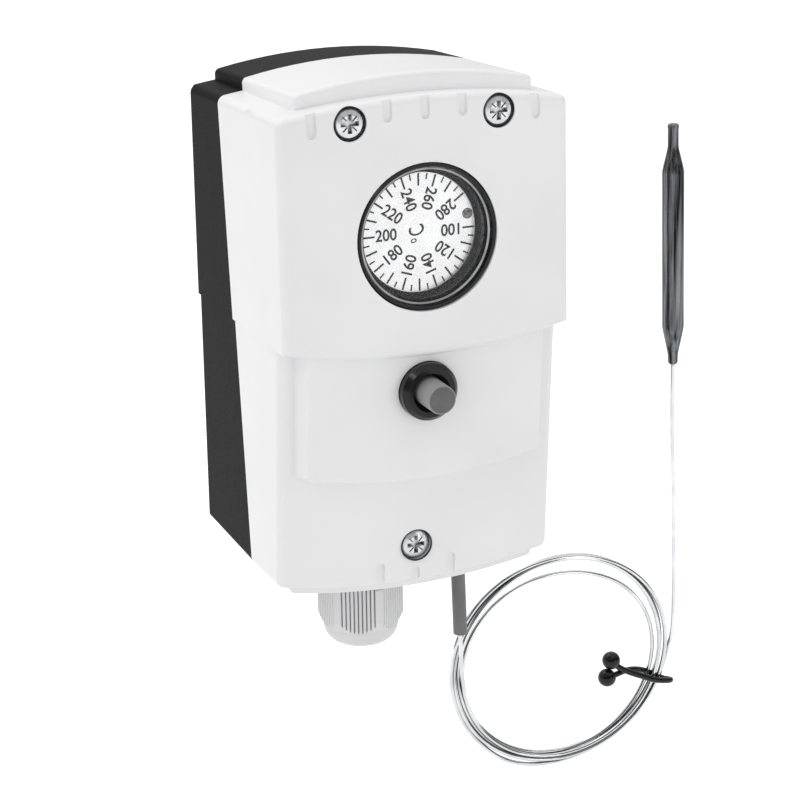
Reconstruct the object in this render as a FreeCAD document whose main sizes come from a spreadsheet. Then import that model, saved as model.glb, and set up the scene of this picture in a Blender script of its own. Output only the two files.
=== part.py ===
import FreeCAD, Part
import math
import os
import Sketcher
from FreeCAD import Placement, Rotation, Vector

# Capillary thermostat: a two-part moulded housing that carries a switch mechanism, a setting
# dial behind a round window, a manual reset button, a cable gland and a wound capillary tube
# with its sensor bulb.
#
# Frame, in millimetres: +Z up, X to the right seen from the front. The wall plane is Y = 0 and
# the front faces -Y, so "depth" below means -Y. Z = 0 is at the lower corners of the housing.

DRIVING_SIZES = [
    # Moulded housing
    ("upper_width", 73.0, "width of the hood, above the step"),
    ("hood_overhang", 0.6, "how far the hood stands out over the lower part at each side"),
    ("corner_radius", 2.2, "corners in the front view"),
    ("step_height", 60.0, "height of the step at the corners"),
    ("step_sag", 4.2, "how far the step dips in the middle"),
    ("bottom_sag", 3.8, "how far the bottom edge dips in the middle"),
    ("bottom_drop", 1.5, "how far the bottom falls from the wall to its break"),
    ("bottom_break", 31.0, "depth from where the bottom runs level"),
    ("foot_corner", 0.8, "lower corners in the front view, at the wall"),
    ("keel_shoulder", 3.6, "from the lower part's side to the lowered middle of the bottom"),
    ("keel_drop", 1.5, "lowered middle of the bottom under the rest of it"),
    ("keel_depth", 51.2, "depth where the lowered middle ends"),
    ("arch_height_back", 116.2, "top of the arch at the wall"),
    ("arch_height_front", 118.2, "top of the arch at the front"),
    ("arch_rise", 3.1, "arch height over its own ends"),
    ("crown_shoulder", 6.5, "from the hood's side to the raised middle of the top"),
    ("crown_height_back", 119.8, "top of the crown at the wall"),
    ("crown_height_front", 122.6, "top of the crown at its front"),
    ("crown_rise", 3.2, "crown arch over its own ends"),
    ("crown_corner", 1.4, "rounding along the crown's shoulders"),
    ("crown_edge", 1.1, "rounding of the crown's front edge"),
    ("crown_depth", 57.0, "depth where the crown ends"),
    ("upper_depth", 64.3, "hood front face depth at the step"),
    ("upper_lean", 1.33, "hood front face lean, degrees"),
    ("lower_depth", 58.3, "lower front face depth at the step"),
    ("lower_lean", 4.44, "lower front face lean, degrees"),
    ("wall", 2.5, "housing wall"),
    ("back_wall", 3.0, "wall of the housing against the mounting surface"),
    ("parting_depth", 33.4, "joint between the halves, at Z = 0"),
    ("parting_lean", 6.1, "joint plane lean, degrees"),
    ("gasket_inset", 0.7, "gasket from the outer face"),
    ("gasket_top", 117.6, "gasket's own arch, which passes over the upper screws"),
    ("gasket_radius", 110.0, "radius of that arch"),
    ("gasket_width", 1.1, "gasket strip"),
    ("gasket_height", 1.0, "gasket strip under the joint plane"),
    ("fixing_hole", 4.5, "wall fixing holes"),
    ("fixing_low", 16.0, "lower wall fixing"),
    ("fixing_high", 106.0, "upper wall fixing"),
    ("notch_width", 2.4, "round-ended slots in the front's edges"),
    ("notch_depth", 0.9, "depth of the slots under the face"),
    ("notch_margin", 8.5, "outer slots from the hood's sides"),
    ("notch_inner", 9.4, "inner slots from the centre line"),
    ("notch_outer_end", 110.2, "end of the outer upper slots"),
    ("notch_inner_end", 112.5, "end of the inner upper slots"),
    ("notch_low_end", 1.1, "end of the lower slots"),
    ("hood_edge", 1.9, "rounding of the hood's front edge"),
    ("lower_edge", 1.9, "rounding of the lower front edge"),
    # Raised panel under the step
    ("panel_margin", 3.5, "from the lower part's side to the foot of the raised panel"),
    ("panel_bevel", 2.2, "sideways run of the panel's bevel"),
    ("panel_corner", 1.8, "corners of the raised panel"),
    ("panel_edge", 0.8, "rounding of the panel's front edges"),
    ("panel_proud", 4.4, "panel height over the lower face"),
    ("panel_bottom", 22.6, "lowest point of the panel's foot"),
    ("panel_sag", 4.0, "how far the panel's lower edge dips"),
    # Window and dial
    ("window_height", 84.7, "centre of the window"),
    ("window_diameter", 35.5, "opening in the hood"),
    ("ring_wall", 2.45, "window ring from its bore to the opening in the hood"),
    ("ring_depth", 5.6, "length of the window ring"),
    ("ring_flange", 1.6, "rear flange of the window ring"),
    ("ring_setback", 0.2, "front of the window ring behind the hood's face"),
    ("ring_edge", 0.5, "bevels of the window ring's front"),
    ("lens_thickness", 0.8, "clear window disc"),
    ("lens_seat", 0.9, "seat of the clear disc round the bore of its ring"),
    ("lens_inset", 1.3, "clear disc behind the front of its ring"),
    ("lens_bevel", 0.35, "bevel round the clear disc"),
    ("dial_clearance", 0.8, "scale disc inside the bore of the window ring"),
    ("dial_thickness", 0.6, "scale disc sheet"),
    ("dial_depth", 58.2, "front surface of the scale disc"),
    ("hub_rim", 2.0, "edge of the scale disc over its carrier"),
    ("stop_pin", 1.6, "pin in the small hole of the scale disc"),
    ("hub_thickness", 3.4, "carrier disc"),
    ("spindle_diameter", 6.0, "setting spindle"),
    ("thread_diameter", 5.0, "threaded stretch of the spindle"),
    ("running_gap", 0.05, "radial play of turning and sliding fits"),
    ("loose_gap", 0.3, "play between moving pieces that don't guide each other"),
    # Screws of the cover
    ("cover_screw_spread", 18.6, "upper screws from the centre line"),
    ("cover_screw_top", 112.9, "height of the upper screws"),
    ("cover_screw_bottom", 4.8, "height of the lower screw"),
    ("cover_screw_head", 7.5, "pan head diameter"),
    ("cover_screw_head_height", 2.4, "pan head height"),
    ("cover_screw_shank", 3.5, "thread diameter"),
    ("cover_screw_length", 44.0, "shank of the upper screws"),
    ("cover_screw_short", 21.6, "shank of the lower screw, which stops in front of the gland"),
    ("screw_recess", 8.2, "counterbore in the cover"),
    ("screw_recess_depth", 2.6, "counterbore depth under the face"),
    ("column_diameter", 8.6, "screw columns inside both halves"),
    # Switch mechanism
    ("frame_gap", 3.8, "hat-shaped frame's feet from the housing wall"),
    ("frame_height", 34.4, "frame strip"),
    ("frame_sheet", 1.5, "frame sheet"),
    ("frame_foot", 7.6, "feet beside the arms"),
    ("frame_depth", 40.0, "front of the frame"),
    ("frame_screw", 2.9, "frame screw thread"),
    ("nut_depth", 22.0, "back of the guided nut"),
    ("nut_thickness", 4.0, "guided nut"),
    ("nut_height", 12.0, "guided nut, upright"),
    ("capsule_gap", 5.5, "diaphragm capsule from the frame's arms"),
    ("capsule_height", 8.0, "capsule with its button"),
    ("range_spring", 11.0, "range spring, mean diameter"),
    ("range_wire", 1.0, "range spring wire"),
    ("reset_wire", 0.6, "reset spring wire"),
    ("switch_width", 34.0, "switch block"),
    ("switch_top", 64.0, "switch block, top of its ledge"),
    ("switch_bottom", 40.0, "switch block, underside"),
    ("switch_front", 24.0, "switch block, front depth"),
    ("switch_ledge", 6.0, "height of the ledge that carries the pin"),
    ("terminal_side", 9.0, "terminal clamps"),
    ("earth_offset", 22.0, "earth terminal from the centre line"),
    ("earth_height", 22.0, "earth terminal height"),
    # Reset button
    ("reset_height", 47.0, "centre of the reset button"),
    ("collar_flange", 14.2, "front flange of the collar"),
    ("collar_proud", 3.4, "collar flange over the panel"),
    ("collar_barrel", 9.6, "threaded barrel through the panel"),
    ("collar_length", 14.0, "barrel behind the panel face"),
    ("collar_bore", 7.6, "guide bore of the collar"),
    ("button_cap", 6.4, "button cap diameter"),
    ("button_proud", 9.6, "button tip over the panel"),
    ("button_skirt", 7.4, "guided skirt of the button"),
    ("plunger_diameter", 3.6, "rod behind the button"),
    ("reset_travel", 3.0, "stroke of the button"),
    # Gland
    ("gland_depth", 15.0, "gland from the wall"),
    ("gland_thread", 16.0, "gland thread diameter"),
    ("gland_flange", 22.0, "hexagon of the gland body across its flats"),
    ("gland_pad", 0.8, "flat seat inside the curved bottom"),
    ("gland_boss", 4.8, "round boss under the curved bottom"),
    ("gland_flange_height", 6.0, "height of the body's hexagon"),
    ("gland_gap", 1.6, "thread that shows between the body's hexagon and the nut"),
    ("gland_cap_length", 17.6, "compression nut"),
    ("gland_cap_flats", 20.5, "compression nut across its flats"),
    ("gland_cap_corners", 22.5, "compression nut over its trimmed corners"),
    ("gland_cap_dome", 19.7, "rounded end of the nut, diameter where it starts"),
    ("gland_dome_radius", 5.0, "rounding of the nut's end"),
    ("gland_cap_turn", -24.7, "turn of the nut about its axis, degrees"),
    ("gland_washer", 1.2, "flat washer under the hexagon"),
    ("gland_bore", 8.0, "cable bore of the rubber insert"),
    ("gland_grooves", 9, "grip grooves on each flat of the nut"),
    ("gland_groove_pitch", 1.07, "grip grooves from middle to middle"),
    # Capillary, coil and bulb
    ("capillary_diameter", 1.2, "capillary tube"),
    ("sleeve_diameter", 3.8, "protective sleeve"),
    ("sleeve_margin", 6.0, "lower end of the sleeve from the housing's side"),
    ("sleeve_lean", 1.8, "lean of the sleeve, degrees"),
    ("sleeve_depth", 12.0, "sleeve from the wall"),
    ("sleeve_inside", 8.0, "sleeve length inside the housing"),
    ("sleeve_end", 40.0, "sleeve end below Z = 0"),
    ("coil_centre_offset", 62.4, "coil centre from the centre line"),
    ("coil_centre_drop", 55.0, "coil centre below Z = 0"),
    ("coil_depth", 7.0, "coil centre from the wall"),
    ("coil_outer", 66.0, "coil outer diameter"),
    ("coil_band", 5.6, "radial width of the bundle"),
    ("coil_thickness", 4.2, "bundle from back to front"),
    ("bulb_diameter", 6.0, "sensor bulb"),
    ("bulb_body", 45.4, "straight length of the bulb"),
    ("bulb_neck", 3.0, "crimped ends of the bulb"),
    ("bulb_top_neck", 10.1, "crimped upper end with its taper"),
    ("bulb_bottom_neck", 11.5, "crimped lower end with its taper"),
    ("bulb_offset", 97.9, "bulb from the centre line"),
    ("bulb_depth", 4.0, "bulb centre from the wall"),
    ("tie_angle", -19.0, "place of the tie on the coil, degrees"),
    ("tie_wire", 1.3, "tie wire"),
    ("tie_ball", 4.7, "balls at the tie's ends"),
    ("bulb_base", 25.4, "lower tip of the bulb"),
]

# Capillary: corners of its route (X, Y, Z), chosen from its real course.
INNER_ROUTE = [
    (13.79, -5.0, 70.91),
    (23.2, -5.4, 61.3),
    (25.9, -7.6, 46.0),
    (27.4, -11.0, 30.0),
    (28.14, -12.0, 16.0),
    (29.9, -12.0, -40.0),
]
LEAD_ROUTE = [
    (29.9, -12.0, -40.0),
    (30.07, -12.0, -45.5),
    (30.8, -10.4, -51.5),
    (32.6, -7.8, -58.5),
]
RUN_ROUTE = [
    (88.5, -7.0, -72.5),
    (92.2, -7.0, -67.0),
    (95.6, -6.8, -60.0),
    (97.7, -6.4, -50.5),
    (98.6, -5.5, -35.0),
    (97.9, -4.0, -9.0),
    (97.9, -4.0, 25.4),
]

doc = FreeCAD.newDocument("capillary_thermostat")
sheet = doc.addObject("Spreadsheet::Sheet", "Sizes")


def number_of(value):
    return value.number if isinstance(value, Size) else float(value)


def formula_of(value):
    return value.formula if isinstance(value, Size) else "(" + repr(float(value)) + ")"


class Size:
    """A length or an angle: its number, and the spreadsheet formula that gives it."""

    def __init__(self, number, formula):
        self.number = number
        self.formula = formula

    def __add__(self, other):
        return joined(self, "+", other, self.number + number_of(other))

    def __radd__(self, other):
        return joined(other, "+", self, number_of(other) + self.number)

    def __sub__(self, other):
        return joined(self, "-", other, self.number - number_of(other))

    def __rsub__(self, other):
        return joined(other, "-", self, number_of(other) - self.number)

    def __mul__(self, other):
        return joined(self, "*", other, self.number * number_of(other))

    def __rmul__(self, other):
        return joined(other, "*", self, number_of(other) * self.number)

    def __truediv__(self, other):
        return joined(self, "/", other, self.number / number_of(other))

    def __neg__(self):
        return joined(0.0, "-", self, -self.number)


def joined(left, sign, right, number):
    return Size(number, "(" + formula_of(left) + sign + formula_of(right) + ")")


def root(value):
    return Size(math.sqrt(value.number), "sqrt(" + value.formula + ")")


def tangent(angle):
    return Size(math.tan(math.radians(angle.number)), "tan(" + angle.formula + ")")


class Sizes:
    """The named sizes of the sheet, as attributes."""


size = Sizes()


def add_cell(alias, content, number, note):
    row = str(len(vars(size)) + 1)
    sheet.set("A" + row, note)
    sheet.set("B" + row, content)
    sheet.setAlias("B" + row, alias)
    setattr(size, alias, Size(number, "Sizes." + alias))


def derive(alias, value, note):
    """Keeps a worked-out size as a formula cell of the sheet."""
    add_cell(alias, "=" + value.formula.replace("Sizes.", ""), value.number, note)


for alias, number, note in DRIVING_SIZES:
    add_cell(alias, repr(number), number, note)


def arc_radius(half, rise):
    return (half * half + rise * rise) / (2 * rise)


derive("lower_width", size.upper_width - 2 * size.hood_overhang, "width below the step")
derive("crown_width", size.upper_width - 2 * size.crown_shoulder, "raised middle of the top")
derive("panel_width", size.lower_width - 2 * size.panel_margin, "raised panel at its foot")
derive("notch_outer", size.upper_width / 2 - size.notch_margin, "outer slots from the centre line")
derive("ring_bore", size.window_diameter - 2 * size.ring_wall, "clear sight through the ring")
derive("dial_diameter", size.ring_bore - 2 * size.dial_clearance, "printed scale disc")
derive("hub_diameter", size.dial_diameter - 2 * size.hub_rim, "carrier behind the scale disc")
derive(
    "frame_width",
    size.lower_width - 2 * (size.wall + size.frame_gap + size.frame_foot),
    "hat-shaped frame over its arms",
)
derive(
    "capsule_diameter",
    size.frame_width - 2 * (size.frame_sheet + size.capsule_gap),
    "diaphragm capsule",
)
derive("sleeve_offset", size.lower_width / 2 - size.sleeve_margin, "sleeve from the centre line")
derive("arch_radius", arc_radius(size.upper_width / 2, size.arch_rise), "arch of the top")
derive("crown_radius", arc_radius(size.crown_width / 2, size.crown_rise), "arch of the crown")
derive("step_radius", arc_radius(size.upper_width / 2, size.step_sag), "arc of the step")
derive("bottom_radius", arc_radius(size.lower_width / 2, size.bottom_sag), "arc of the bottom")
derive("panel_radius", arc_radius(size.panel_width / 2, size.panel_sag), "panel's lower edge")
doc.recompute()

# Sketches, bodies and features


def bind(thing, prop, value):
    """Sets a property from a size, and ties it to the sheet."""
    if isinstance(value, Size):
        thing.setExpression(prop, value.formula)
    elif value != 0:
        thing.setExpression(prop, repr(float(value)))


def new_body(name):
    body = doc.addObject("PartDesign::Body", name)
    body.Label = name
    return body


def origin_plane(body, role):
    return [part for part in body.Origin.OriginFeatures if part.Role == role][0]


def add_sketch(body, name, plane="XZ_Plane", depth=0.0, height=0.0, lean=0.0, across=0.0):
    """A sketch on a plane of the body. Depth is along the plane's normal; lean tips its top."""
    sketch = body.newObject("Sketcher::SketchObject", name)
    sketch.AttachmentSupport = [(origin_plane(body, plane), "")]
    sketch.MapMode = "FlatFace"
    sketch.AttachmentOffset = Placement(
        Vector(number_of(across), number_of(height), number_of(depth)),
        Rotation(Vector(1, 0, 0), number_of(lean)),
    )
    bind(sketch, "AttachmentOffset.Base.x", across)
    bind(sketch, "AttachmentOffset.Base.y", height)
    bind(sketch, "AttachmentOffset.Base.z", depth)
    bind(sketch, "AttachmentOffset.Rotation.Angle", lean)
    return sketch


def arc_between(start, end, bend):
    """The short arc of radius |bend| from start to end, counter-clockwise if bend is positive."""
    chord = end - start
    reach = math.sqrt(max(bend * bend - (chord.Length / 2) ** 2, 0.0))
    side = Vector(-chord.y, chord.x, 0).normalize() * math.copysign(reach, bend)
    centre = (start + end) / 2 + side
    first, last = (start, end) if bend > 0 else (end, start)
    circle = Part.Circle(centre, Vector(0, 0, 1), abs(bend))
    angles = [math.atan2(point.y - centre.y, point.x - centre.x) for point in (first, last)]
    return Part.ArcOfCircle(circle, angles[0], angles[1])


def hold(sketch, kind, index, place, value):
    """Constrains one coordinate or radius, and ties it to the sheet."""
    number = number_of(value)
    if place is None:
        row = sketch.addConstraint(Sketcher.Constraint(kind, index, number))
    else:
        row = sketch.addConstraint(Sketcher.Constraint(kind, index, place, number))
    if isinstance(value, Size):
        sketch.setExpression("Constraints[" + str(row) + "]", value.formula)


def draw_outline(sketch, corners):
    """Draws a closed outline. A corner is (x, y) or (x, y, bend of the edge that leaves it)."""
    first_edge = sketch.GeometryCount
    points = [Vector(number_of(corner[0]), number_of(corner[1]), 0) for corner in corners]
    count = len(corners)
    ends = []
    for index, corner in enumerate(corners):
        start = points[index]
        end = points[(index + 1) % count]
        bend = corner[2] if len(corner) > 2 else None
        if bend is None:
            sketch.addGeometry(Part.LineSegment(start, end))
        else:
            sketch.addGeometry(arc_between(start, end, number_of(bend)))
        turned = bend is not None and number_of(bend) < 0
        ends.append((2, 1) if turned else (1, 2))
    for index, corner in enumerate(corners):
        edge = first_edge + index
        following = first_edge + (index + 1) % count
        here, there = ends[index]
        next_start = ends[(index + 1) % count][0]
        sketch.addConstraint(Sketcher.Constraint("Coincident", edge, there, following, next_start))
        hold(sketch, "DistanceX", edge, here, corner[0])
        hold(sketch, "DistanceY", edge, here, corner[1])
        if len(corner) > 2 and corner[2] is not None:
            radius = corner[2] if number_of(corner[2]) > 0 else -corner[2]
            hold(sketch, "Radius", edge, None, radius)


def draw_circle(sketch, x, y, radius):
    index = sketch.GeometryCount
    centre = Vector(number_of(x), number_of(y), 0)
    sketch.addGeometry(Part.Circle(centre, Vector(0, 0, 1), number_of(radius)))
    hold(sketch, "DistanceX", index, 3, x)
    hold(sketch, "DistanceY", index, 3, y)
    hold(sketch, "Radius", index, None, radius)


def rectangle(left, bottom, right, top):
    return [(left, bottom), (right, bottom), (right, top), (left, top)]


def add_loft(body, name, sketches):
    loft = body.newObject("PartDesign::AdditiveLoft", name)
    loft.Profile = sketches[0]
    loft.Sections = sketches[1:]
    loft.Ruled = True
    return loft


def add_pad(body, sketch, length, midplane=False, reverse=False):
    pad = body.newObject("PartDesign::Pad", sketch.Name + "_pad")
    pad.Profile = sketch
    pad.Length = number_of(length)
    pad.SideType = 2 if midplane else 0
    pad.Reversed = reverse
    bind(pad, "Length", length)
    return pad


def add_pocket(body, sketch, length, midplane=False, reverse=False):
    pocket = body.newObject("PartDesign::Pocket", sketch.Name + "_pocket")
    pocket.Profile = sketch
    pocket.Length = number_of(length)
    pocket.SideType = 2 if midplane else 0
    pocket.Reversed = reverse
    bind(pocket, "Length", length)
    return pocket


def add_revolution(body, sketch, axis):
    turned = body.newObject("PartDesign::Revolution", sketch.Name + "_turned")
    turned.Profile = sketch
    turned.ReferenceAxis = (sketch, [axis])
    turned.Angle = 360.0
    return turned


def add_polar_pattern(body, feature, sketch, count):
    pattern = body.newObject("PartDesign::PolarPattern", feature.Name + "_pattern")
    pattern.Originals = [feature]
    pattern.Axis = (sketch, ["N_Axis"])
    pattern.Angle = 360.0
    pattern.Occurrences = int(number_of(count))
    bind(pattern, "Occurrences", count)
    body.Tip = pattern
    return pattern


def add_fillet(body, feature, edges, radius):
    """Rounds the given edges of the feature."""
    names = []
    for index, edge in enumerate(feature.Shape.Edges, start=1):
        if any(edge.isSame(other) for other in edges):
            names.append("Edge" + str(index))
    fillet = body.newObject("PartDesign::Fillet", feature.Name + "_rounded")
    fillet.Base = (feature, names)
    fillet.Radius = number_of(radius)
    bind(fillet, "Radius", radius)
    body.Tip = fillet
    doc.recompute()
    return fillet


def fuse(name, things):
    fused = doc.addObject("Part::MultiFuse", name)
    fused.Shapes = things
    fused.Refine = False
    return fused


def common(name, base, tool):
    shared = doc.addObject("Part::Common", name)
    shared.Base = base
    shared.Tool = tool
    return shared


def cut(name, base, tool):
    opened = doc.addObject("Part::Cut", name)
    opened.Base = base
    opened.Tool = tool
    return opened


def rod(name, x, z, radius, depth, length):
    """A cylinder along the depth: it starts at the given depth and runs towards the front."""
    cylinder = doc.addObject("Part::Cylinder", name)
    bind(cylinder, "Radius", radius)
    bind(cylinder, "Height", length)
    cylinder.Placement = Placement(
        Vector(number_of(x), -number_of(depth), number_of(z)), Rotation(Vector(1, 0, 0), 90)
    )
    bind(cylinder, "Placement.Base.x", x)
    bind(cylinder, "Placement.Base.y", -depth if isinstance(depth, Size) else -float(depth))
    bind(cylinder, "Placement.Base.z", z)
    return cylinder


def post(name, x, depth, radius, bottom, length):
    """An upright cylinder."""
    cylinder = doc.addObject("Part::Cylinder", name)
    bind(cylinder, "Radius", radius)
    bind(cylinder, "Height", length)
    bind(cylinder, "Placement.Base.x", x)
    bind(cylinder, "Placement.Base.y", -depth if isinstance(depth, Size) else -float(depth))
    bind(cylinder, "Placement.Base.z", bottom)
    return cylinder


kept = []


def keep(thing, name):
    """Marks a sub-part for writing under its name."""
    thing.Label = name
    kept.append(thing)
    return thing


# Moulded housing: one outer form, split by a leaning joint plane into base and cover


def arch(half, middle, radius, corner, side):
    """A corner of the given radius that runs smoothly into a wide arch over the full width.

    Side is +1 for an arch that crowns upwards and -1 for one that hangs down. It gives the
    height where the upright side ends and the point where the corner meets the arch.
    """
    centre = middle - side * radius
    reach = root((radius - corner) * (radius - corner) - (half - corner) * (half - corner))
    share = radius / (radius - corner)
    return centre + side * reach, (half - corner) * share, centre + side * reach * share


def shell_outline(inset, datum=0.0, top_height=None, top_radius=None, corner=None, drop=0.0):
    """Front view of the lower width over the whole height, moved inwards by an inset."""
    top_height = top_height or size.arch_height_back - inset
    top_radius = top_radius or size.arch_radius - inset
    half = size.lower_width / 2 - inset
    corner = corner or size.corner_radius - inset
    low_radius = size.bottom_radius - inset
    low = arch(half, inset - size.bottom_sag - datum - drop, low_radius, corner, -1)
    top = arch(half, top_height - datum, top_radius, corner, 1)
    return [
        (-half, low[0], corner),
        (-low[1], low[2], low_radius),
        (low[1], low[2], corner),
        (half, low[0]),
        (half, top[0], corner),
        (top[1], top[2], top_radius),
        (-top[1], top[2], corner),
        (-half, top[0]),
    ]


def hood_outline(top_height, datum):
    """Front view of the wider hood, from the dipped step up to the arch."""
    half = size.upper_width / 2
    top = arch(half, top_height - datum, size.arch_radius, size.corner_radius, 1)
    step = size.step_height - datum
    return [
        (-half, step, size.step_radius),
        (half, step),
        (half, top[0], size.corner_radius),
        (top[1], top[2], size.arch_radius),
        (-top[1], top[2], size.corner_radius),
        (-half, top[0]),
    ]


def keel_outline(drop):
    """Front view of the lowered middle of the bottom."""
    half = size.lower_width / 2 - size.keel_shoulder
    low = arch(half, -size.bottom_sag - size.keel_drop - drop, size.bottom_radius,
               size.crown_corner, -1)
    return [
        (-half, low[0], size.crown_corner),
        (-low[1], low[2], size.bottom_radius),
        (low[1], low[2], size.crown_corner),
        (half, low[0]),
        (half, 2 * size.wall),
        (-half, 2 * size.wall),
    ]


def crown_outline(top_height):
    half = size.crown_width / 2
    top = arch(half, top_height, size.crown_radius, size.crown_corner, 1)
    foot = size.arch_height_back - 4 * size.wall
    return [
        (-half, foot),
        (half, foot),
        (half, top[0], size.crown_corner),
        (top[1], top[2], size.crown_radius),
        (-top[1], top[2], size.crown_corner),
        (-half, top[0]),
    ]


def panel_outline(half, bottom, datum):
    corner = size.panel_corner
    low = arch(half, bottom - datum, size.panel_radius, corner, -1)
    ceiling = size.step_height + size.wall - datum
    return [
        (-half, low[0], corner),
        (-low[1], low[2], size.panel_radius),
        (low[1], low[2], corner),
        (half, low[0]),
        (half, ceiling),
        (-half, ceiling),
    ]


def face_depth(height, base_depth, lean):
    """Depth of a leaning front face at a height."""
    return base_depth + (height - size.step_height) * tangent(lean)


# Two lengths closer than this are the same
NEAR = 0.01

# A front face is larger than this share of the hood's width squared
LEAST_FACE = 0.2 * size.upper_width.number * size.upper_width.number


def front_faces(shape, least_area):
    """Flat faces that look forward and are at least so large, the foremost first."""
    faces = []
    for face in shape.Faces:
        if isinstance(face.Surface, Part.Plane) and face.Area > least_area:
            normal = face.normalAt(0, 0)
            if normal.y < -0.9:
                faces.append(face)
    return sorted(faces, key=lambda face: face.CenterOfMass.y)


def build_housing_form():
    """The closed outer form of both halves together."""
    body = new_body("housing_form")
    step = size.step_height
    drop = size.bottom_drop
    lower_back = add_sketch(body, "lower_back")
    draw_outline(lower_back, shell_outline(0.0, corner=size.foot_corner))
    lower_middle = add_sketch(body, "lower_middle", depth=size.bottom_break)
    draw_outline(lower_middle, shell_outline(0.0, drop=drop))
    lower_front = add_sketch(
        body, "lower_front", depth=size.lower_depth, height=step, lean=size.lower_lean
    )
    draw_outline(lower_front, shell_outline(0.0, step, drop=drop))
    lower = add_loft(body, "lower_block", [lower_back, lower_middle, lower_front])
    doc.recompute()
    face = front_faces(lower.Shape, LEAST_FACE)[0]
    soft = [e for e in face.Edges if e.CenterOfMass.z < step.number + size.wall.number * 4]
    add_fillet(body, lower, soft, size.lower_edge)

    foot = add_sketch(
        body, "panel_foot", depth=size.lower_depth - size.wall / 2, height=step,
        lean=size.lower_lean,
    )
    half = size.panel_width / 2
    rise = size.panel_proud + size.wall / 2
    draw_outline(foot, panel_outline(half, size.panel_bottom, step))
    top = add_sketch(
        body, "panel_top", depth=size.lower_depth + size.panel_proud, height=step,
        lean=size.lower_lean,
    )
    bevel = size.panel_bevel
    draw_outline(top, panel_outline(half - bevel, size.panel_bottom + bevel * 0.6, step))
    panel = add_loft(body, "panel_block", [foot, top])
    doc.recompute()
    face = front_faces(panel.Shape, LEAST_FACE)[0]
    rim = [edge for edge in face.Edges if edge.CenterOfMass.z < step.number]
    add_fillet(body, panel, rim, size.panel_edge)

    keel_back = add_sketch(body, "keel_back")
    draw_outline(keel_back, keel_outline(0.0))
    keel_front = add_sketch(body, "keel_front", depth=size.keel_depth)
    draw_outline(keel_front, keel_outline(drop))
    add_loft(body, "keel_block", [keel_back, keel_front])

    hood_back = add_sketch(body, "hood_back")
    draw_outline(hood_back, hood_outline(size.arch_height_back, 0.0))
    hood_front = add_sketch(
        body, "hood_front", depth=size.upper_depth, height=step, lean=-size.upper_lean
    )
    draw_outline(hood_front, hood_outline(size.arch_height_front, step))
    hood = add_loft(body, "hood_block", [hood_back, hood_front])
    doc.recompute()
    face = front_faces(hood.Shape, LEAST_FACE)[0]
    hood = add_fillet(body, hood, face.Edges, size.hood_edge)

    crown_back = add_sketch(body, "crown_back")
    draw_outline(crown_back, crown_outline(size.crown_height_back))
    crown_front = add_sketch(body, "crown_front", depth=size.crown_depth)
    draw_outline(crown_front, crown_outline(size.crown_height_front))
    crown = add_loft(body, "crown_block", [crown_back, crown_front])
    doc.recompute()
    rim = edges_at(crown.Shape, size.crown_depth, size.arch_height_front)
    add_fillet(body, crown, rim, size.crown_edge)
    return body


def edges_at(shape, depth, floor):
    """Edges that lie in the upright plane at a depth, above a floor."""
    found = []
    for edge in shape.Edges:
        box = edge.BoundBox
        level = abs(box.YMin + depth.number) < NEAR and abs(box.YMax + depth.number) < NEAR
        if level and box.ZMin > floor.number and edge.CenterOfMass.z > floor.number:
            found.append(edge)
    return found


def side_block(name, corners, width):
    """A block with the given side outline (depth as negative Y, height), across the housing."""
    body = new_body(name)
    sketch = add_sketch(body, name + "_side", plane="YZ_Plane")
    draw_outline(sketch, corners)
    add_pad(body, sketch, width, midplane=True)
    return body


# Ends of the blocks that part the halves, well clear of the housing
BELOW = -0.5 * size.crown_height_front
ABOVE = 1.3 * size.crown_height_front
BEHIND = 4 * size.wall

# Depth of the hood's inner face under the step line, in walls: the face leans back above it
HOOD_WALLS = 1.55


def parting_y(height, shift=0.0):
    return (height * tangent(size.parting_lean)) - size.parting_depth - shift


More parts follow.
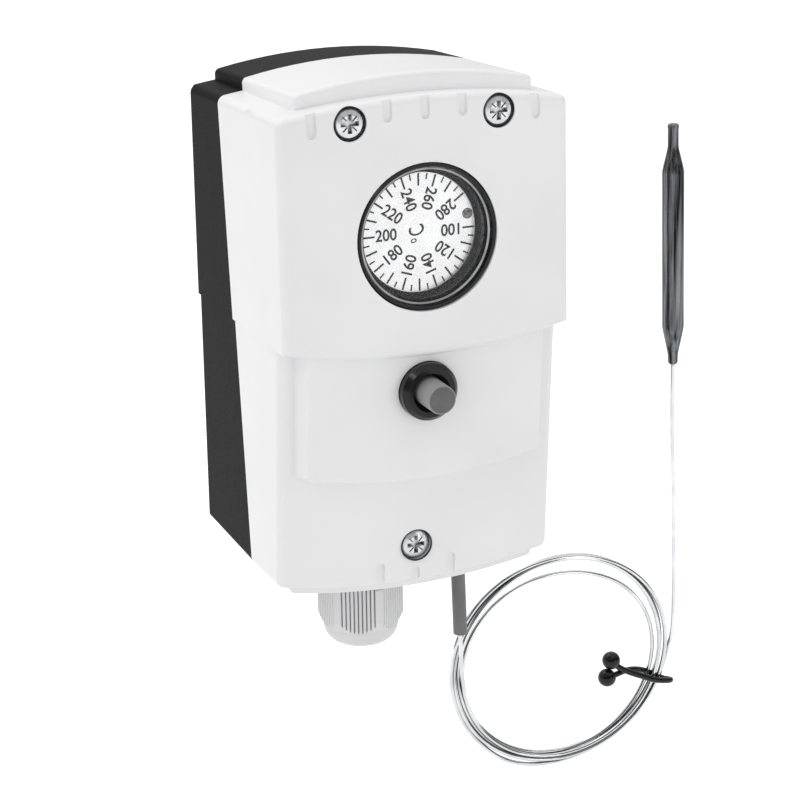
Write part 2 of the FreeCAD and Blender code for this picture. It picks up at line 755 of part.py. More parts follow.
def build_housing():
    form = build_housing_form()
    wide = size.upper_width * 1.4
    rear_space = side_block(
        "rear_space",
        [
            (parting_y(BELOW), BELOW), (BEHIND, BELOW), (BEHIND, ABOVE),
            (parting_y(ABOVE), ABOVE),
        ],
        wide,
    )
    inner_low = face_depth(0.0, size.lower_depth, size.lower_lean) - size.wall
    inner_step = size.lower_depth - size.wall
    ledge = size.step_height + size.wall
    inner_hood = size.upper_depth - size.wall * HOOD_WALLS
    cavity_side = side_block(
        "cavity_side",
        [
            (-inner_low, 0.0 - size.bottom_sag),
            (-size.back_wall, 0.0 - size.bottom_sag),
            (-size.back_wall, size.arch_height_back),
            (-inner_hood, size.arch_height_back),
            (-inner_hood, ledge),
            (-inner_step, ledge),
        ],
        wide,
    )
    cavity_front = new_body("cavity_front")
    sketch = add_sketch(cavity_front, "cavity_outline")
    draw_outline(sketch, shell_outline(size.wall, corner=size.corner_radius / 2))
    add_pad(cavity_front, sketch, size.upper_depth)
    cavity = common("cavity", cavity_front, cavity_side)

    # The hollow behind the raised panel, so that its wall is as thick as the rest.
    niche = new_body("panel_niche")
    sketch = add_sketch(
        niche, "niche_outline", depth=size.lower_depth - 2 * size.wall,
        height=size.step_height, lean=size.lower_lean,
    )
    half = size.panel_width / 2 - 2 * size.wall
    floor = size.panel_bottom + 3 * size.wall - size.step_height
    draw_outline(sketch, rectangle(-half, floor, half, -size.wall * 1.6))
    add_pad(niche, sketch, size.wall + size.panel_proud)

    gasket_ring = build_gasket(wide)
    columns = []
    shanks = []
    heads = []
    for mark, x, z, face, shank in screw_places():
        floor = face - size.screw_recess_depth
        start = floor - shank - size.wall * 0.4 if mark == "low" else size.back_wall / 2
        columns.append(rod("column_" + mark, x, z, size.column_diameter / 2, start,
                           floor - start + size.wall * 0.4))
        shanks.append(rod("bore_" + mark, x, z, size.cover_screw_shank / 2, floor - shank,
                          shank + size.screw_recess_depth))
        if mark == "low":
            columns.append(column_foot(x, z, start, floor - start + size.wall * 0.4))
        heads.append(rod("recess_" + mark, x, z, size.screw_recess / 2,
                         face - size.screw_recess_depth, 4 * size.screw_recess_depth))
    columns = fuse("screw_columns", columns)
    shanks = fuse("screw_bores", shanks)

    rear = cut("rear_shell", common("rear_half", form, rear_space), cavity)
    rear = fuse("rear_with_columns", [rear, common("rear_columns", columns, rear_space),
                                      gland_pad()])
    fixing = [
        rod("fixing_low", 0.0, size.fixing_low, size.fixing_hole / 2, -1.0, size.back_wall * 3),
        rod("fixing_high", 0.0, size.fixing_high, size.fixing_hole / 2, -1.0,
            size.back_wall * 3),
        post("gland_hole", 0.0, size.gland_depth, size.gland_thread / 2, BELOW,
             -BELOW + size.bottom_sag),
        on_sleeve_axis(post("sleeve_hole", size.sleeve_offset, size.sleeve_depth,
                            size.sleeve_diameter / 2, -size.sleeve_end,
                            size.sleeve_end + size.bottom_sag)),
    ]
    fixing += [rod("frame_pilot_" + mark, x, z, size.frame_screw / 2, size.back_wall * 0.3,
                   size.back_wall) for mark, x, z in frame_screw_places()]
    fixing.append(rod("earth_pilot", size.earth_offset, size.earth_height,
                      size.frame_screw / 2, size.back_wall * 0.3, size.back_wall))
    rear = cut("rear_opened", rear, fuse("rear_openings", fixing + [shanks]))
    keep(cut("rear_body", rear, gasket_ring), "rear_housing")
    keep(gasket_ring, "housing_gasket")

    front = cut("cover_shell", cut("front_half", form, rear_space), fuse("hollow", [cavity, niche]))
    front = fuse("cover_with_columns", [front, cut("front_columns", columns, rear_space)])
    window = rod("window_hole", 0.0, size.window_height, size.window_diameter / 2,
                 size.crown_depth - size.wall, 6 * size.wall)
    collar = rod("collar_hole", 0.0, size.reset_height, size.collar_barrel / 2,
                 size.lower_depth - 4 * size.wall, 8 * size.wall)
    spot = rod("collar_spotface", 0.0, size.reset_height, size.collar_flange / 2 + 0.15,
               collar_seat(), 4 * size.wall)
    openings = fuse("cover_openings", heads + [shanks, window, collar, spot, build_notches()])
    keep(cut("cover_body", front, openings), "front_cover")


def on_sleeve_axis(thing):
    """Leans an upright form about its foot, as the sleeve leans in its passage."""
    thing.Placement = Placement(
        thing.Placement.Base, Rotation(Vector(0, -1, 0), size.sleeve_lean.number)
    )
    bind(thing, "Placement.Rotation.Angle", size.sleeve_lean)
    return thing


def collar_seat():
    """Depth of the flat seat that is cut into the leaning panel for the collar's flange."""
    panel = face_depth(size.reset_height, size.lower_depth, size.lower_lean) + size.panel_proud
    return panel - size.collar_flange / 2 * tangent(size.lower_lean)


def build_gasket(wide):
    """A flat ring let into the rim of the base, flush with the joint plane."""
    ring = new_body("gasket_ring")
    sketch = add_sketch(ring, "gasket_outline")
    strip = size.gasket_width
    draw_outline(sketch, shell_outline(size.gasket_inset, 0.0, size.gasket_top,
                                       size.gasket_radius))
    draw_outline(sketch, shell_outline(size.gasket_inset + strip, 0.0, size.gasket_top - strip,
                                       size.gasket_radius - strip))
    add_pad(ring, sketch, size.upper_depth)
    slab = side_block(
        "gasket_slab",
        [
            (parting_y(BELOW), BELOW),
            (parting_y(BELOW) + size.gasket_height, BELOW),
            (parting_y(ABOVE) + size.gasket_height, ABOVE),
            (parting_y(ABOVE), ABOVE),
        ],
        wide,
    )
    return common("gasket", ring, slab)


def build_notches():
    """Small round-ended slots in the front's upper edge and, fewer, in its lower edge."""
    body = new_body("notches")
    step = size.step_height
    top = add_sketch(
        body, "top_notches", depth=size.upper_depth - size.notch_depth, height=step,
        lean=-size.upper_lean,
    )
    reach = size.notch_width / 2
    ceiling = size.crown_height_front - step
    for x, end in [
        (-size.notch_outer, size.notch_outer_end),
        (-size.notch_inner, size.notch_inner_end),
        (0.0, size.notch_inner_end),
        (size.notch_inner, size.notch_inner_end),
        (size.notch_outer, size.notch_outer_end),
    ]:
        bottom = end - step
        draw_outline(top, [
            (x - reach, bottom + reach, reach),
            (x, bottom, reach),
            (x + reach, bottom + reach),
            (x + reach, ceiling),
            (x - reach, ceiling),
        ])
    add_pad(body, top, 3 * size.wall)
    low = add_sketch(
        body, "low_notches", depth=size.lower_depth - size.notch_depth, height=step,
        lean=size.lower_lean,
    )
    floor = -2 * size.bottom_sag - step
    for x, end in [
        (-size.notch_inner, size.notch_low_end),
        (0.0, size.notch_low_end - size.notch_width),
        (size.notch_inner, size.notch_low_end),
    ]:
        rise = end - step
        draw_outline(low, [
            (x - reach, floor),
            (x + reach, floor),
            (x + reach, rise - reach, reach),
            (x, rise, reach),
            (x - reach, rise - reach),
        ])
    add_pad(body, low, 3 * size.wall)
    return body


def column_foot(x, z, depth, length):
    """A rib that stands the lower column on the bottom wall."""
    foot = doc.addObject("Part::Box", "column_foot")
    bind(foot, "Length", size.column_diameter * 0.6)
    bind(foot, "Width", length)
    bottom = size.wall * 0.85 - size.bottom_sag
    bind(foot, "Height", z - bottom)
    bind(foot, "Placement.Base.x", x - size.column_diameter * 0.3)
    bind(foot, "Placement.Base.y", -depth - length)
    bind(foot, "Placement.Base.z", bottom)
    return foot


def screw_places():
    """Mark, X, Z, face depth and shank length of each cover screw."""
    top, bottom = size.cover_screw_top, size.cover_screw_bottom
    upper = face_depth(top, size.upper_depth, -size.upper_lean)
    lower = face_depth(bottom, size.lower_depth, size.lower_lean)
    return [
        ("left", -size.cover_screw_spread, top, upper, size.cover_screw_length),
        ("right", size.cover_screw_spread, top, upper, size.cover_screw_length),
        ("low", 0.0, bottom, lower, size.cover_screw_short),
    ]


def frame_screw_places():
    spread = size.frame_width / 2 + size.frame_foot / 2
    places = []
    for side, x in (("left", -spread), ("right", spread)):
        for level, shift in (("low", -size.frame_height * 0.36), ("high", size.frame_height * 0.36)):
            places.append((side + "_" + level, x, size.window_height + shift))
    return places


def gland_pad():
    """A round boss that gives the curved bottom a flat seat outside and inside."""
    return post("gland_pad", 0.0, size.gland_depth, size.gland_flange * 0.53,
                -size.bottom_sag - size.gland_boss, size.gland_boss + size.wall + size.gland_pad)


# Pieces turned about an axis along the depth


def turned_piece(name, x, z, profile, piece=True):
    """Revolves a profile of (radius, depth) corners about a line along the depth at X, Z."""
    body = new_body(name)
    sketch = add_sketch(body, name + "_profile", plane="YZ_Plane")
    draw_outline(sketch, [(-depth, radius) for radius, depth in profile])
    add_revolution(body, sketch, "H_Axis")
    bind(body, "Placement.Base.x", x)
    bind(body, "Placement.Base.z", z)
    return keep(body, name) if piece else body


def upright_piece(name, x, depth, profile, piece=True):
    """Revolves a profile of (radius, height) corners about an upright line."""
    body = new_body(name)
    sketch = add_sketch(body, name + "_profile")
    draw_outline(sketch, profile)
    add_revolution(body, sketch, "V_Axis")
    bind(body, "Placement.Base.x", x)
    bind(body, "Placement.Base.y", -depth)
    return keep(body, name) if piece else body


def build_window():
    """Stepped ring in the hood's opening, and the clear disc seated inside it."""
    outer = size.window_diameter / 2
    sight = size.ring_bore / 2
    disc = sight + size.lens_seat
    front = face_depth(size.window_height, size.upper_depth, -size.upper_lean) - size.ring_setback
    inner_hood = size.upper_depth - size.wall * HOOD_WALLS
    back = front - size.ring_depth
    flange = outer + size.ring_flange
    lens_front = front - size.lens_inset
    lens_back = lens_front - size.lens_thickness
    edge = size.ring_edge
    turned_piece("window_ring", 0.0, size.window_height, [
        (sight, back),
        (sight, lens_back),
        (disc, lens_back),
        (disc, lens_front),
        (disc + edge / 2, front - edge),
        (disc + edge, front),
        (outer - edge, front),
        (outer, front - edge),
        (outer, inner_hood),
        (flange, inner_hood),
        (flange, back),
    ])
    bevel = size.lens_bevel
    turned_piece("window_lens", 0.0, size.window_height, [
        (0.0, lens_back),
        (disc, lens_back),
        (disc, lens_front - bevel),
        (disc - bevel, lens_front),
        (0.0, lens_front),
    ])


# Small hole of the scale disc: share of the disc's diameter, and angle from the right
HOLE_REACH = 0.39
HOLE_ANGLE = math.radians(18.0)


def build_dial():
    """Scale disc, its carrier with a stop pin behind the small hole, and the spindle."""
    disc = new_body("dial_disc")
    sketch = add_sketch(disc, "dial_outline", depth=size.dial_depth - size.dial_thickness)
    draw_circle(sketch, 0.0, size.window_height, size.dial_diameter / 2)
    reach = size.dial_diameter * HOLE_REACH
    pin_x = reach * math.cos(HOLE_ANGLE)
    pin_z = size.window_height + reach * math.sin(HOLE_ANGLE)
    draw_circle(sketch, pin_x, pin_z, size.stop_pin / 2 + 2 * size.running_gap)
    add_pad(disc, sketch, size.dial_thickness)
    keep(disc, "dial")

    hub = size.hub_diameter / 2
    stem = size.spindle_diameter / 2
    carrier_front = size.dial_depth - size.dial_thickness
    carrier_back = carrier_front - size.hub_thickness
    bush_front = size.frame_depth + size.frame_sheet
    hub_turned = turned_piece("hub_turned", 0.0, size.window_height, [
        (0.0, carrier_front),
        (0.0, carrier_back),
        (stem, carrier_back),
        (stem, bush_front + size.loose_gap),
        (stem * 1.7, bush_front + size.loose_gap),
        (stem * 1.7, carrier_back),
        (hub, carrier_back),
        (hub, carrier_front),
    ], piece=False)
    pin = size.stop_pin / 2
    pin_foot = carrier_back + size.hub_thickness / 3
    pin_hole = rod("pin_hole", pin_x, pin_z, pin, pin_foot, size.hub_thickness)
    keep(cut("hub_bored", hub_turned, pin_hole), "dial_hub")
    pin_end = size.dial_depth - size.running_gap
    keep(rod("pin_rod", pin_x, pin_z, pin, pin_foot, pin_end - pin_foot), "dial_stop_pin")
    thread = size.thread_diameter / 2
    bush_back = size.frame_depth - 2.6 * size.frame_sheet
    turned_piece("setting_spindle", 0.0, size.window_height, [
        (0.0, size.nut_depth - 1.5 * size.nut_thickness),
        (thread * 0.8, size.nut_depth - 1.5 * size.nut_thickness),
        (thread, size.nut_depth - 1.3 * size.nut_thickness),
        (thread, size.nut_depth + 2.5 * size.nut_thickness),
        (stem, size.nut_depth + 2.5 * size.nut_thickness),
        (stem, bush_back - size.loose_gap - size.frame_sheet),
        (stem * 1.4, bush_back - size.loose_gap - size.frame_sheet),
        (stem * 1.4, bush_back - size.loose_gap),
        (stem, bush_back - size.loose_gap),
        (stem, carrier_back),
        (0.0, carrier_back),
    ])


def build_mechanism():
    """Frame, bush, guided nut, spring, pressure plate, capsule and switch."""
    width = size.frame_width / 2
    sheet_metal = size.frame_sheet
    foot = width + size.frame_foot
    back = size.back_wall
    front = size.frame_depth
    frame = new_body("frame_strip")
    sketch = add_sketch(frame, "hat_section", plane="XY_Plane",
                        depth=size.window_height - size.frame_height / 2)
    draw_outline(sketch, [
        (-foot, -back), (-foot, -back - sheet_metal), (-width, -back - sheet_metal),
        (-width, -front), (width, -front), (width, -back - sheet_metal),
        (foot, -back - sheet_metal), (foot, -back), (width - sheet_metal, -back),
        (width - sheet_metal, sheet_metal - front), (sheet_metal - width, sheet_metal - front),
        (sheet_metal - width, -back),
    ])
    add_pad(frame, sketch, size.frame_height)
    holes = [rod("frame_hole_" + mark, x, z, size.frame_screw / 2, back - 1.0, 4 * sheet_metal)
             for mark, x, z in frame_screw_places()]
    bush_hole = rod("bush_hole", 0.0, size.window_height, size.spindle_diameter * 0.75,
                    front - 3 * sheet_metal, 6 * sheet_metal)
    keep(cut("frame_drilled", frame, fuse("frame_holes", holes + [bush_hole])), "mechanism_frame")

    bore = size.spindle_diameter / 2 + size.running_gap
    barrel = size.spindle_diameter * 0.75
    turned_piece("spindle_bush", 0.0, size.window_height, [
        (bore, front - 2.6 * sheet_metal),
        (barrel, front - 2.6 * sheet_metal),
        (barrel, front),
        (barrel + sheet_metal, front),
        (barrel + sheet_metal, front + sheet_metal),
        (bore, front + sheet_metal),
    ])

    nut = new_body("nut_bar")
    sketch = add_sketch(nut, "nut_outline", depth=size.nut_depth)
    reach = width - sheet_metal - size.loose_gap
    tall = size.nut_height / 2
    waist = size.nut_height * 0.75
    middle = size.window_height
    draw_outline(sketch, [
        (-reach, middle - tall), (-waist, middle - tall), (-waist + tall * 0.4, middle - waist),
        (waist - tall * 0.4, middle - waist), (waist, middle - tall), (reach, middle - tall),
        (reach, middle + tall), (waist, middle + tall), (waist - tall * 0.4, middle + waist),
        (tall * 0.4 - waist, middle + waist), (-waist, middle + tall), (-reach, middle + tall),
    ])
    draw_circle(sketch, 0.0, middle, size.thread_diameter / 2 + size.running_gap)
    add_pad(nut, sketch, size.nut_thickness)
    keep(nut, "setting_nut")

    capsule_edge = size.capsule_diameter / 2
    tall = size.capsule_height
    plate_back = back + tall
    capsule = turned_piece("capsule_body", 0.0, size.window_height, [
        (0.0, back),
        (capsule_edge * 0.8, back),
        (capsule_edge, back + tall * 0.1),
        (capsule_edge, back + tall * 0.2),
        (capsule_edge * 0.85, back + tall * 0.32),
        (capsule_edge * 0.7, back + tall * 0.26),
        (capsule_edge * 0.55, back + tall * 0.37),
        (capsule_edge * 0.28, back + tall * 0.4),
        (capsule_edge * 0.28, plate_back),
        (0.0, plate_back),
    ], piece=False)
    stub = doc.addObject("Part::Cylinder", "capsule_stub")
    start = Vector(*INNER_ROUTE[0])
    heading = (Vector(*INNER_ROUTE[1]) - start).normalize()
    bind(stub, "Radius", size.capillary_diameter * 0.8)
    bind(stub, "Height", size.capsule_diameter * 0.3)
    stub.Placement = Placement(start, Rotation(Vector(0, 0, -1), heading))
    keep(fuse("capsule", [capsule, stub]), "diaphragm_capsule")

    plate = new_body("plate")
    sketch = add_sketch(plate, "plate_outline", depth=plate_back)
    disc = size.nut_height * 0.66
    tongue = size.nut_height * 0.25
    foot_height = size.switch_top - size.switch_ledge
    drop = root(disc * disc - tongue * tongue)
    draw_outline(sketch, [
        (-tongue, foot_height), (tongue, foot_height),
        (tongue, middle - drop, disc), (disc, middle, disc), (0.0, middle + disc, disc),
        (-disc, middle, disc), (-tongue, middle - drop),
    ])
    add_pad(plate, sketch, size.frame_sheet)
    keep(plate, "pressure_plate")

    spring_start = plate_back + sheet_metal
    keep(coil_spring("range_spring_coil", middle,
                     size.range_spring / 2, size.range_wire, spring_start, size.nut_depth),
         "range_spring")
    build_switch(plate_back)


def build_switch(plate_back):
    """Switch block with its push pin, terminals and their screws."""
    back = size.back_wall
    top, bottom = size.switch_top, size.switch_bottom
    front = size.switch_front
    ledge = size.switch_ledge
    block = new_body("block")
    sketch = add_sketch(block, "block_side", plane="YZ_Plane")
    low_front = back + size.capsule_height * 0.62
    draw_outline(sketch, [
        (-front, bottom), (-back, bottom), (-back, top), (-low_front, top),
        (-low_front, top - ledge * 1.6), (-front, top - ledge * 1.6),
    ])
    add_pad(block, sketch, size.switch_width, midplane=True)
    guide = rod("plunger_guide", 0.0, size.reset_height,
                size.plunger_diameter / 2 + size.loose_gap,
                front - 2.2 * size.reset_travel, 3 * size.reset_travel)
    keep(cut("block_drilled", block, guide), "switch_block")
    keep(rod("pin", 0.0, top - ledge * 0.55, size.frame_screw / 2, low_front,
             plate_back - low_front), "switch_pin")

    blocks = []
    screws = []
    side = size.terminal_side
    spread = size.switch_width / 3
    for mark, x in (("left", -spread), ("middle", 0.0), ("right", spread)):
        blocks.append(terminal("terminal_" + mark, x, bottom - side, low_front, side))
        screws.append(terminal_screw("terminal_screw_" + mark, x, bottom - side * 0.4,
                                     low_front + side))
    keep(fuse("clamps", blocks), "terminal_clamps")
    earth = terminal("earth_clamp", size.earth_offset, size.earth_height - side * 0.6, back, side)
    keep(earth, "earth_terminal")
    screws.append(terminal_screw("earth_screw", size.earth_offset, size.earth_height, back + side))
    keep(fuse("clamp_screws", screws), "terminal_screws")
    heads = [small_screw("frame_screw_" + mark, x, z, back + size.frame_sheet)
             for mark, x, z in frame_screw_places()]
    keep(fuse("frame_screw_set", heads), "frame_screws")


def terminal(name, x, bottom, depth, side):
    """A brass block with a wire hole from below and a screw hole from the front."""
    block = doc.addObject("Part::Box", name + "_block")
    bind(block, "Length", side * 0.8)
    bind(block, "Width", side)
    bind(block, "Height", side)
    bind(block, "Placement.Base.x", x - side * 0.4)
    bind(block, "Placement.Base.y", -depth - side)
    bind(block, "Placement.Base.z", bottom)
    wire = post(name + "_wire", x, depth + side / 2, side * 0.2, bottom - 1.0, side * 0.8)
    screw = rod(name + "_thread", x, bottom + side * 0.6, size.frame_screw / 2,
                depth + side * 0.6, side)
    return cut(name, cut(name + "_bored", block, wire), screw)


def terminal_screw(name, x, z, face):
    head = rod(name + "_head", x, z, size.frame_screw * 0.9, face, size.frame_screw * 0.7)
    shank = rod(name + "_shank", x, z, size.frame_screw / 2, face - size.frame_screw * 0.8,
                size.frame_screw * 0.8)
    slot = slot_block(name, x, z, face + size.frame_screw * 0.7, size.frame_screw)
    return cut(name, fuse(name + "_body", [head, shank]), slot)


def small_screw(name, x, z, face):
    head = rod(name + "_head", x, z, size.frame_screw * 0.95, face, size.frame_screw * 0.7)
    depth = size.back_wall * 0.3
    shank = rod(name + "_shank", x, z, size.frame_screw / 2, depth, face - depth)
    slot = slot_block(name, x, z, face + size.frame_screw * 0.7, size.frame_screw)
    return cut(name, fuse(name + "_body", [head, shank]), slot)


def slot_block(name, x, z, top, across):
    """The cutter of a straight screwdriver slot in a head whose front is at the given depth."""
    slot = doc.addObject("Part::Box", name + "_slot")
    bind(slot, "Length", across * 3)
    bind(slot, "Width", across)
    bind(slot, "Height", across * 0.25)
    bind(slot, "Placement.Base.x", x - across * 1.5)
    bind(slot, "Placement.Base.y", -top - across * 0.65)
    bind(slot, "Placement.Base.z", z - across * 0.125)
    return slot


def blade(name, x, z, long, thin, depth, length, turn):
    """A flat cutter across a screw's head, turned about the screw's axis by some degrees."""
    flat = doc.addObject("Part::Box", "blade_" + name)
    bind(flat, "Length", long)
    bind(flat, "Width", length)
    bind(flat, "Height", thin)
    flat.Placement.Rotation = Rotation(Vector(0, 1, 0), turn)
    cosine, sine = math.cos(math.radians(turn)) / 2, math.sin(math.radians(turn)) / 2
    bind(flat, "Placement.Base.x", x - long * cosine - thin * sine)
    bind(flat, "Placement.Base.y", -depth - length)
    bind(flat, "Placement.Base.z", z + long * sine - thin * cosine)
    return flat


def build_cover_screws():
    """Pan-head screws with a cross recess."""
    screws = []
    head = size.cover_screw_head / 2
    tall = size.cover_screw_head_height
    shank = size.cover_screw_shank / 2
    for mark, x, z, face, length in screw_places():
        floor = face - size.screw_recess_depth
        tip = floor - length
        screw = turned_piece("screw_" + mark, x, z, [
            (0.0, tip),
            (shank * 0.5, tip),
            (shank, tip + shank),
            (shank, floor),
            (head, floor),
            (head, floor + tall * 0.5),
            (head * 0.86, floor + tall * 0.85),
            (head * 0.55, floor + tall),
            (0.0, floor + tall),
        ], piece=False)
        blades = [
            blade(mark + "_level", x, z, head * 1.2, head * 0.3, floor + tall * 0.4, tall, 0),
            blade(mark + "_upright", x, z, head * 1.2, head * 0.3, floor + tall * 0.4, tall, 90),
            blade(mark + "_rising", x, z, head * 1.3, head * 0.09, floor + tall * 0.85, tall, 45),
            blade(mark + "_falling", x, z, head * 1.3, head * 0.09, floor + tall * 0.85, tall, 135),
        ]
        screws.append(cut("cross_screw_" + mark, screw, fuse("cross_" + mark, blades)))
    keep(fuse("cover_screw_set", screws), "cover_screws")


def build_reset():
    """Collar through the raised panel, its nut, and the sprung button with its plunger."""
    z = size.reset_height
    panel_front = face_depth(z, size.lower_depth, size.lower_lean) + size.panel_proud
    inner = panel_front - size.wall * 1.2
    barrel = size.collar_barrel / 2
    flange = size.collar_flange / 2
    bore = size.collar_bore / 2
    front = panel_front + size.collar_proud
    back = panel_front - size.collar_length
    floor = size.frame_sheet
    plunger = size.plunger_diameter / 2
    seat = collar_seat()
    gap = size.loose_gap
    hollow = front - size.collar_proud * 0.55
    turned_piece("reset_collar", 0.0, z, [
        (plunger + gap, back),
        (barrel, back),
        (barrel, seat),
        (flange, seat),
        (flange, front - size.collar_proud * 0.35),
        (flange - size.collar_proud * 0.3, front),
        (bore + size.wall * 0.4, front),
        (bore + gap, hollow),
        (bore, hollow - gap),
        (bore, back + floor),
        (plunger + gap, back + floor),
    ])
    nut = new_body("collar_nut_body")
    sketch = add_sketch(nut, "collar_nut_outline", depth=inner - 2 * size.frame_sheet)
    draw_hexagon(sketch, 0.0, z, size.collar_flange / 2)
    draw_circle(sketch, 0.0, z, barrel)
    add_pad(nut, sketch, 2 * size.frame_sheet - size.loose_gap)
    keep(nut, "collar_nut")

    skirt = size.button_skirt / 2
    cap = size.button_cap / 2
    tip = panel_front + size.button_proud
    skirt_front = front - size.collar_proud * 0.9
    skirt_back = skirt_front - 1.1 * size.collar_proud
    turned_piece("reset_button", 0.0, z, [
        (0.0, skirt_back),
        (skirt, skirt_back),
        (skirt, skirt_front - gap),
        (skirt - gap, skirt_front),
        (cap, skirt_front),
        (cap, tip - 2 * gap),
        (cap - gap / 2, tip - gap / 2),
        (cap - 2 * gap, tip),
        (0.0, tip),
    ])
    keep(rod("plunger_rod", 0.0, z, plunger, size.switch_front - size.reset_travel * 0.6,
             skirt_back - size.switch_front + size.reset_travel * 0.6), "reset_plunger")
    keep(coil_spring("reset_spring_coil", z, (bore + plunger) / 2 + size.running_gap,
                     size.reset_wire, back + floor, skirt_back), "reset_spring")


def draw_hexagon(sketch, x, y, reach):
    """A hexagon with a corner to each side; reach is from the centre to a flat."""
    long = reach * (2 / math.sqrt(3.0))
    draw_outline(sketch, [
        (x + long, y), (x + long / 2, y + reach), (x - long / 2, y + reach),
        (x - long, y), (x - long / 2, y - reach), (x + long / 2, y - reach),
    ])


SPRING_TURNS = 5


def coil_spring(name, height, mean_radius, wire, start, end):
    """A round-wire spring about a line along the depth, between two depths."""
    length = number_of(end) - number_of(start) - number_of(wire)
    radius = number_of(mean_radius)
    helix = Part.makeHelix(length / SPRING_TURNS, length, radius)
    section = Part.Wire([Part.makeCircle(number_of(wire) / 2, Vector(radius, 0, 0),
                                         Vector(0, 1, 0))])
    solid = Part.Wire(helix.Edges).makePipeShell([section], True, True)
    thing = doc.addObject("Part::Feature", name)
    thing.Shape = solid
    thing.Placement = Placement(
        Vector(0, -number_of(start) - number_of(wire) / 2, number_of(height)),
        Rotation(Vector(1, 0, 0), 90),
    )
    return thing


def build_gland():
    """Cable gland: body through the base, locknut, washer, rubber insert and grooved nut."""
    depth = size.gland_depth
    pad = -size.bottom_sag - size.gland_boss
    floor = size.wall + size.gland_pad - size.bottom_sag
    thread = size.gland_thread / 2
    flange = size.gland_flange / 2
    washer = size.gland_washer
    hex_top = pad - washer
    hex_low = hex_top - size.gland_flange_height
    cap_top = hex_low - size.gland_gap
    low = cap_top - size.gland_cap_length * 0.45
    passage = thread * 0.66
    body = upright_piece("gland_tube", 0.0, depth, [
        (passage, low), (thread, low), (thread, floor + 4 * washer),
        (passage, floor + 4 * washer),
    ], piece=False)
    collar = hex_ring("gland_hex", 0.0, depth, flange, passage, hex_low, size.gland_flange_height)
    keep(fuse("gland_turned", [body, collar]), "gland_body")
    upright_piece("gland_washer", 0.0, depth, [
        (thread, hex_top), (flange, hex_top), (flange, pad), (thread, pad),
    ])
    locknut = hex_ring("locknut", 0.0, depth, flange, thread, floor, 3 * washer)
    keep(locknut, "gland_locknut")

    cap_end = cap_top - size.gland_cap_length
    lip = 1.6 * washer
    insert = thread * 0.82
    upright_piece("gland_insert", 0.0, depth, [
        (size.gland_bore / 2, cap_end + lip), (insert, cap_end + lip),
        (insert, low), (size.gland_bore / 2, low),
    ])
    keep(gland_cap(cap_top, cap_end, low, lip, insert), "gland_nut")


def gland_cap(top, end, low, lip, insert):
    """The nut: a trimmed hexagon with grooved flats over a rounded end."""
    depth = size.gland_depth
    flat = size.gland_cap_flats / 2
    corner = size.gland_cap_corners / 2
    shoulder = size.gland_cap_dome / 2
    dome = end + size.gland_dome_radius
    bevel = size.gland_cap_length / 6
    thread = size.gland_thread / 2

    prism = new_body("cap_prism")
    sketch = add_sketch(prism, "cap_hexagon", plane="XY_Plane", depth=dome)
    draw_hexagon(sketch, 0.0, 0.0, flat)
    add_pad(prism, sketch, top - dome)
    grooves = new_body("cap_grooves")
    sketch = add_sketch(grooves, "groove_row", plane="XY_Plane", depth=dome)
    pitch = size.gland_groove_pitch
    count = int(size.gland_grooves.number)
    for index in range(count):
        x = pitch * (index - (count - 1) / 2)
        draw_outline(sketch, [
            (x - pitch * 0.33, -flat * 1.01), (x + pitch * 0.33, -flat * 1.01),
            (x, pitch * 0.45 - flat),
        ])
    row = add_pad(grooves, sketch, top - dome)
    doc.recompute()
    add_polar_pattern(grooves, row, sketch, 6)
    for body in (prism, grooves):
        bind(body, "Placement.Base.y", -depth)
        bind(body, "Placement.Rotation.Angle", size.gland_cap_turn)
    trim = upright_piece("cap_trim", 0.0, depth, [
        (0.0, dome), (shoulder, dome), (corner, dome + bevel),
        (corner, top - size.loose_gap), (corner - size.loose_gap, top), (0.0, top),
    ], piece=False)
    rounded = upright_piece("cap_dome", 0.0, depth, [
        (0.0, end),
        (shoulder - size.gland_dome_radius, end, size.gland_dome_radius),
        (shoulder, dome),
        (0.0, dome),
    ], piece=False)
    hollow = upright_piece("cap_hollow", 0.0, depth, [
        (0.0, end - lip), (size.gland_bore * 0.56, end - lip),
        (size.gland_bore * 0.56, end + lip), (insert, end + lip), (insert, low),
        (thread, low), (thread, top + lip), (0.0, top + lip),
    ], piece=False)
    grooved = cut("cap_grooved", common("cap_trimmed", prism, trim), grooves)
    return cut("cap_opened", fuse("cap_solid", [grooved, rounded]), hollow)


def hex_ring(name, x, depth, reach, bore, bottom, height):
    body = new_body(name + "_body")
    sketch = add_sketch(body, name + "_outline", plane="XY_Plane", depth=bottom)
    draw_hexagon(sketch, x, -depth, reach)
    draw_circle(sketch, x, -depth, bore)
    add_pad(body, sketch, height)
    return body


# Capillary: tubes along their routes, the wound bundle, its tie and the sensor bulb


def route_path(route):
    """Straight runs joined by tangent arcs; each arc is as large as its two runs allow."""
    points = [Vector(*point) for point in route]
    edges = []
    radii = []
    start = points[0]
    for before, here, after in zip(points, points[1:], points[2:]):
        into, out = (here - before), (after - here)
        half_turn = into.getAngle(out) / 2
        radius = 0.45 * min(into.Length, out.Length) / math.tan(half_turn)
        radii.append(round(radius, 1))
        trim = radius * math.tan(half_turn)
        into.normalize()
        out.normalize()
        first, last = here - into * trim, here + out * trim
        bisector = (out - into).normalize()
        middle = here + bisector * (radius / math.cos(half_turn) - radius)
        edges.append(Part.LineSegment(start, first).toShape())
        edges.append(Part.Arc(first, middle, last).toShape())
        start = last
    edges.append(Part.LineSegment(start, points[-1]).toShape())
    return Part.Wire(edges), radii


